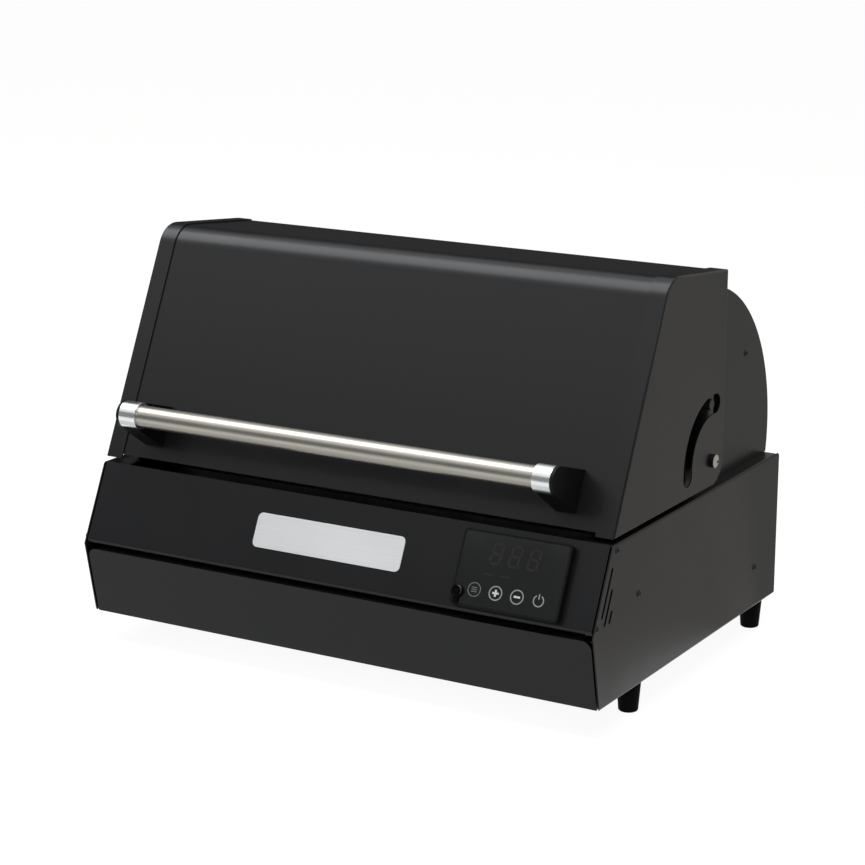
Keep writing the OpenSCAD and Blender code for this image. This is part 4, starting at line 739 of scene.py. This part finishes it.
# %% Programme mark: a ring with three lines
LINE_HALF = 2.6 * MM
LINE_STROKE = 0.8 * MM
LINE_PITCH = 1.8 * MM

line_centres = [programme + step * LINE_PITCH * UP for step in (-1, 0, 1)]
dim = [arc(programme, RING_RADIUS, LINE_STROKE, 0, FULL_TURN)]
dim += [bar(middle - LINE_HALF * RIGHT, middle + LINE_HALF * RIGHT, LINE_STROKE) for middle in line_centres]
mark_piece("programme_mark", dim, DIM_INK)

# %% Unlit digits
DIGIT_COUNT = 3
DIGIT_W = 8.6 * MM
DIGIT_H = 17.0 * MM
DIGIT_PITCH = 17.5 * MM
DIGIT_STROKE = 2.3 * MM
DIGIT_SLANT = math.tan(math.radians(9))
SEGMENT_GAP = 0.35 * MM
TIP_SHARE = 0.08
POINT_AWAY = 2.2 * MM
POINT_RADIUS = 0.9 * MM
DISPLAY_CENTRE = np.array([178.3 * MM, glass_low[1] + 46.0 * MM])


def segment(corner, start, end):
    """One tapered display segment between two points of a digit whose lower left corner is given.

    The digit leans: x grows by DIGIT_SLANT times the height above that corner.
    """
    start, end = np.asarray(start, float), np.asarray(end, float)
    along = (end - start) / np.linalg.norm(end - start)
    shoulder = DIGIT_STROKE / 2
    path = np.stack([start + SEGMENT_GAP * along, start + (SEGMENT_GAP + shoulder) * along,
                     end - (SEGMENT_GAP + shoulder) * along, end - SEGMENT_GAP * along])
    path = path + corner
    path[:, 0] += DIGIT_SLANT * (path[:, 1] - corner[1])
    return ribbon(path, DIGIT_STROKE * np.array([TIP_SHARE, 1, 1, TIP_SHARE]))


def digit(corner):
    """Seven segments: three level ones, and four upright ones between them, with a point at the foot."""
    levels = [0, DIGIT_H / 2, DIGIT_H]
    halves = list(zip(levels, levels[1:]))
    level = [segment(corner, (0, v), (DIGIT_W, v)) for v in levels]
    upright = [segment(corner, (u, low), (u, high)) for u in (0, DIGIT_W) for low, high in halves]
    return level + upright + [dot(corner + np.array([DIGIT_W + POINT_AWAY, 0]), POINT_RADIUS)]


display_w = (DIGIT_COUNT - 1) * DIGIT_PITCH + DIGIT_W + DIGIT_SLANT * DIGIT_H
first_corner = DISPLAY_CENTRE - np.array([display_w / 2, DIGIT_H / 2])
segments = [shell for i in range(DIGIT_COUNT) for shell in digit(first_corner + i * DIGIT_PITCH * RIGHT)]
mark_piece("display_digits", segments, UNLIT_SEGMENT)

# %% Indicator lamps
LAMP_X = (156.5 * MM, 173.0 * MM)
LAMP_UP = 28.0 * MM
LAMP_HALF = 4.0 * MM
LAMP_STROKE = 1.6 * MM

lamp_row = glass_low[1] + LAMP_UP
lamps = [bar((x - LAMP_HALF, lamp_row), (x + LAMP_HALF, lamp_row), LAMP_STROKE) for x in LAMP_X]
mark_piece("indicator_lamps", lamps, UNLIT_SEGMENT)

# %% [markdown]
# ## Screw heads
# The panels are held by small black screws with domed, cross-recessed heads. A boolean cross in every head
# would be slow and leave ragged edges. A head is a turned profile instead: radius and height along the
# profile are one parameter, the angle is the other, and the cross is a smooth dip in the height. The packed
# screws are found as clusters of points, and the new ones take over their seats and sizes.

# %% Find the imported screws
CLUSTER_REACH = 14 * MM
SCREW_GROUPS = ("side_screws", "hood_screws")


def clusters(points):
    """Splits points into screws: everything within reach of the first point left is one screw."""
    found = []
    while len(points):
        near = np.linalg.norm(points - points[0], axis=1) < CLUSTER_REACH
        found.append((points[near].min(axis=0), points[near].max(axis=0)))
        points = points[~near]
    return found


def screw_place(low, high):
    """Head end, axis, head radius and length of one screw from its box: the two equal sides are the head."""
    size = high - low
    spare = [abs(size[(i + 1) % 3] - size[(i + 2) % 3]) for i in range(3)]
    along = int(np.argmin(spare))
    middle = (low + high) / 2
    outward = 1.0 if along == 2 or middle[along] > 0 else -1.0
    axis = np.zeros(3)
    axis[along] = outward
    top = middle + axis * size[along] / 2
    return top, axis, size[(along + 1) % 3] / 2, size[along]


screws = {name: [screw_place(*box) for box in clusters(node_points(name))] for name in SCREW_GROUPS}
print({name: len(places) for name, places in screws.items()})

# %% A turned head with a cross recess
HEAD_STEPS = 14
AROUND = 64
RECESS_SHARE = 0.62
RECESS_ARM = 0.26
RECESS_DEPTH = 0.55
RECESS_BLEND = 0.10
SHANK_SHARE = 0.5
HEAD_SHARE = 0.22
HEAD_MOST = 0.75


def smooth_step(x):
    """0 below 0, 1 above 1, and 3x^2 - 2x^3 between."""
    x = np.clip(x, 0, 1)
    return x * x * (3 - 2 * x)


def screw_shell(top, axis, radius, length):
    """Domed screw: height(r) = head * sqrt(1 - r^2), less a cross-shaped dip, then the seat and the shank."""
    head = min(HEAD_SHARE * length, HEAD_MOST * radius)
    r = np.sin(np.linspace(0, math.pi / 2, HEAD_STEPS))
    rings = np.concatenate([r, [SHANK_SHARE, SHANK_SHARE, 0]])
    rise = np.concatenate([head * np.sqrt(1 - r**2), [0, head - length, head - length]])
    turn = np.linspace(0, FULL_TURN, AROUND, endpoint=False)
    ring, angle = np.meshgrid(rings, turn, indexing="ij")
    height = np.repeat(rise[:, None], AROUND, axis=1)
    u, v = ring * np.cos(angle), ring * np.sin(angle)
    in_arm = smooth_step((RECESS_ARM / 2 + RECESS_BLEND - np.minimum(np.abs(u), np.abs(v))) / RECESS_BLEND)
    in_reach = smooth_step((RECESS_SHARE - ring) / RECESS_BLEND)
    height[:HEAD_STEPS] -= (RECESS_DEPTH * head * in_arm * in_reach)[:HEAD_STEPS]
    first = np.roll(axis, 1)
    second = np.cross(axis, first)
    seat = top - head * axis
    points = seat + radius * (u[..., None] * first + v[..., None] * second) + height[..., None] * axis
    return points.reshape(-1, 3), grid_faces(len(rings), AROUND, wrap_columns=True)


# %% Put the new heads on the old seats
POLE_DISTANCE = 1e-7


def close_poles(piece):
    """Merges the doubled points at each pole, turns every face outwards and shades the piece smooth."""
    shape = bmesh.new()
    shape.from_mesh(piece.data)
    bmesh.ops.remove_doubles(shape, verts=shape.verts, dist=POLE_DISTANCE)
    bmesh.ops.recalc_face_normals(shape, faces=shape.faces)
    shape.to_mesh(piece.data)
    shape.free()
    piece.data.shade_smooth()


for name, places in screws.items():
    heads = mesh_object(name.replace("screws", "screw_heads"), [screw_shell(*place) for place in places])
    close_poles(heads)
    heads.data.materials.append(FINISHES["black_screw"])
    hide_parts(name)
    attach(heads, "base")
    print(heads.name, len(places), "screws,", len(heads.data.polygons), "faces")

# %% [markdown]
# ## Plug rim and screw sockets
# The rubber plug has a glossy lip for a fingernail, which catches the overhead light as a thin crescent. The
# lip is a bead bent round part of the rim: one angle runs along it, the other round the bead, and the bead
# swells from nothing at both ends. The key sockets of the hinge screws lie in shade. A thin dark disc in each
# socket paints that shade on, without changing the screw.

# %% A lip on the plug
RIM_RADIUS = 4.3 * MM
RIM_BEAD = 0.9 * MM
RIM_SUNK = 0.35 * MM
RIM_ENDS = np.radians([-60, 120])
BEAD_SIDES = 16


def crescent(centre, radius, bead, ends, first, second):
    """centre + (radius + b cos v)(first cos u + second sin u) + b sin v (first x second), b = bead sin(pi s).

    s runs from 0 to 1 as u runs from one end of the lip to the other.
    """
    s = np.linspace(0, 1, AROUND)
    round_bead = np.linspace(0, FULL_TURN, BEAD_SIDES, endpoint=False)
    u, v = np.meshgrid(ends[0] + s * (ends[1] - ends[0]), round_bead, indexing="ij")
    swell = (bead * np.sin(math.pi * s))[:, None]
    reach = (radius + swell * np.cos(v))[..., None]
    ring = np.cos(u)[..., None] * first + np.sin(u)[..., None] * second
    points = centre + reach * ring + (swell * np.sin(v))[..., None] * np.cross(first, second)
    return points.reshape(-1, 3), grid_faces(*u.shape, wrap_columns=True)


jack_low, jack_high = board_box("probe_jack")
rim_centre = (jack_low + jack_high) / 2
rim_centre[2] = board_box("probe_plug")[1][2] - RIM_SUNK
lip = crescent(rim_centre @ BOARD, RIM_RADIUS, RIM_BEAD, RIM_ENDS, ACROSS, UP_SLOPE)
rim = mesh_object("plug_lip", [lip])
close_poles(rim)
rim.data.materials.append(finish(
    "glossy_rubber_lip", (0.0040, 0.0040, 0.0042), (0.0060, 0.0060, 0.0062), (0.14, 0.22),
    FINE_GRAIN, {"Scale": 900.0}, "Fleck", (0.05, 0.02 * MM), Specular_IOR_Level=0.7))
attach(rim, "plug")
print(rim.name, len(rim.data.polygons), "faces")

# %% Painted shade: dark discs in the key sockets
SOCKET_RADIUS = 1.45 * MM
SOCKET_DEPTH = 0.25 * MM
SOCKET_FLOOR = 0.05 * MM


def disc_shell(centre, axis, radius, thickness):
    """Flat disc: rings of radius 0, radius, radius and 0, with the last two lifted by its thickness."""
    rings, lift = np.array([0, radius, radius, 0]), np.array([0, 0, thickness, thickness])
    turn = np.linspace(0, FULL_TURN, AROUND, endpoint=False)
    first = np.roll(axis, 1)
    around = np.cos(turn)[:, None] * first + np.sin(turn)[:, None] * np.cross(axis, first)
    points = centre + rings[:, None, None] * around + lift[:, None, None] * axis
    return points.reshape(-1, 3), grid_faces(len(rings), AROUND, wrap_columns=True)


# Each disc is painted shade: a dark sheet on the socket floor, where the real socket only lies in shadow.
shade_discs = []
for side, outward in (("left", -1.0), ("right", 1.0)):
    low, high = (np.array(corner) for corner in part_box(f"pivot_screw_{side}"))
    axis = np.array([outward, 0, 0])
    head_x = max(abs(low[0]), abs(high[0])) - SOCKET_DEPTH
    floor_centre = np.array([outward * head_x, *((low + high) / 2)[1:]])
    shade_discs.append(disc_shell(floor_centre, axis, SOCKET_RADIUS, SOCKET_FLOOR))
sockets = mesh_object("pivot_socket_painted_shade", shade_discs)
close_poles(sockets)
# The darkest finish, the feet's black rubber, stands in for the shade in each socket.
sockets.data.materials.append(FINISHES["foot_rubber"])
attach(sockets, "base")
print(sockets.name, len(sockets.data.polygons), "faces")

# %% [markdown]
# ## Heating wire
# Each quartz tube holds a coil of resistance wire, seen when the lid is open and the grate is out. A curve
# with a bevel could draw it, but a swept ring gives the same coil as one closed array: the path is a helix
# about the tube's axis, and the wire's section is a small circle in the two directions square to the path.

# %% A coil in each quartz tube
WIRE_RADIUS = 0.45 * MM
COIL_SHARE = 0.52
COIL_PITCH = 3.2 * MM
COIL_END = 12 * MM
STEPS_PER_TURN = 20
WIRE_SIDES = 6


def helix_wire(centre, radius, start, end):
    """Wire along (radius cos a, start + pitch a / 2 pi, radius sin a), with a round section across the path.

    The section is spanned by the radial direction and by its cross product with the path.
    """
    turns = (end - start) / COIL_PITCH
    a = np.linspace(0, FULL_TURN * turns, int(turns * STEPS_PER_TURN))
    radial = np.stack([np.cos(a), np.zeros_like(a), np.sin(a)], axis=-1)
    path = centre + radius * radial + np.stack([0 * a, start + COIL_PITCH * a / FULL_TURN, 0 * a], axis=-1)
    ahead = np.gradient(path, axis=0)
    ahead /= np.linalg.norm(ahead, axis=1)[:, None]
    cross = np.cross(ahead, radial)
    around = np.linspace(0, FULL_TURN, WIRE_SIDES, endpoint=False)
    ring = np.cos(around)[None, :, None] * radial[:, None] + np.sin(around)[None, :, None] * cross[:, None]
    wire = np.full(len(a), WIRE_RADIUS)
    wire[[0, -1]] = 0
    points = (path[:, None] + wire[:, None, None] * ring).reshape(-1, 3)
    return points, grid_faces(len(a), WIRE_SIDES, wrap_columns=True)


HEATING_WIRE = finish(
    "dark_heating_wire", (0.16, 0.14, 0.12), (0.26, 0.23, 0.20), (0.35, 0.5),
    FINE_GRAIN, {"Scale": 2400.0}, "Fleck", (0.1, 0.02 * MM), Metallic=1.0)

for side in ("left", "right"):
    low, high = (np.array(corner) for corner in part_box(f"heater_tube_{side}"))
    middle = (low + high) / 2
    centre = np.array([middle[0], 0, middle[2]])
    shell = helix_wire(centre, COIL_SHARE * (high[0] - low[0]) / 2, low[1] + COIL_END, high[1] - COIL_END)
    coil = mesh_object(f"heating_coil_{side}", [shell])
    close_poles(coil)
    coil.data.materials.append(HEATING_WIRE)
    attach(coil, "base")
    print(coil.name, len(coil.data.polygons), "faces")
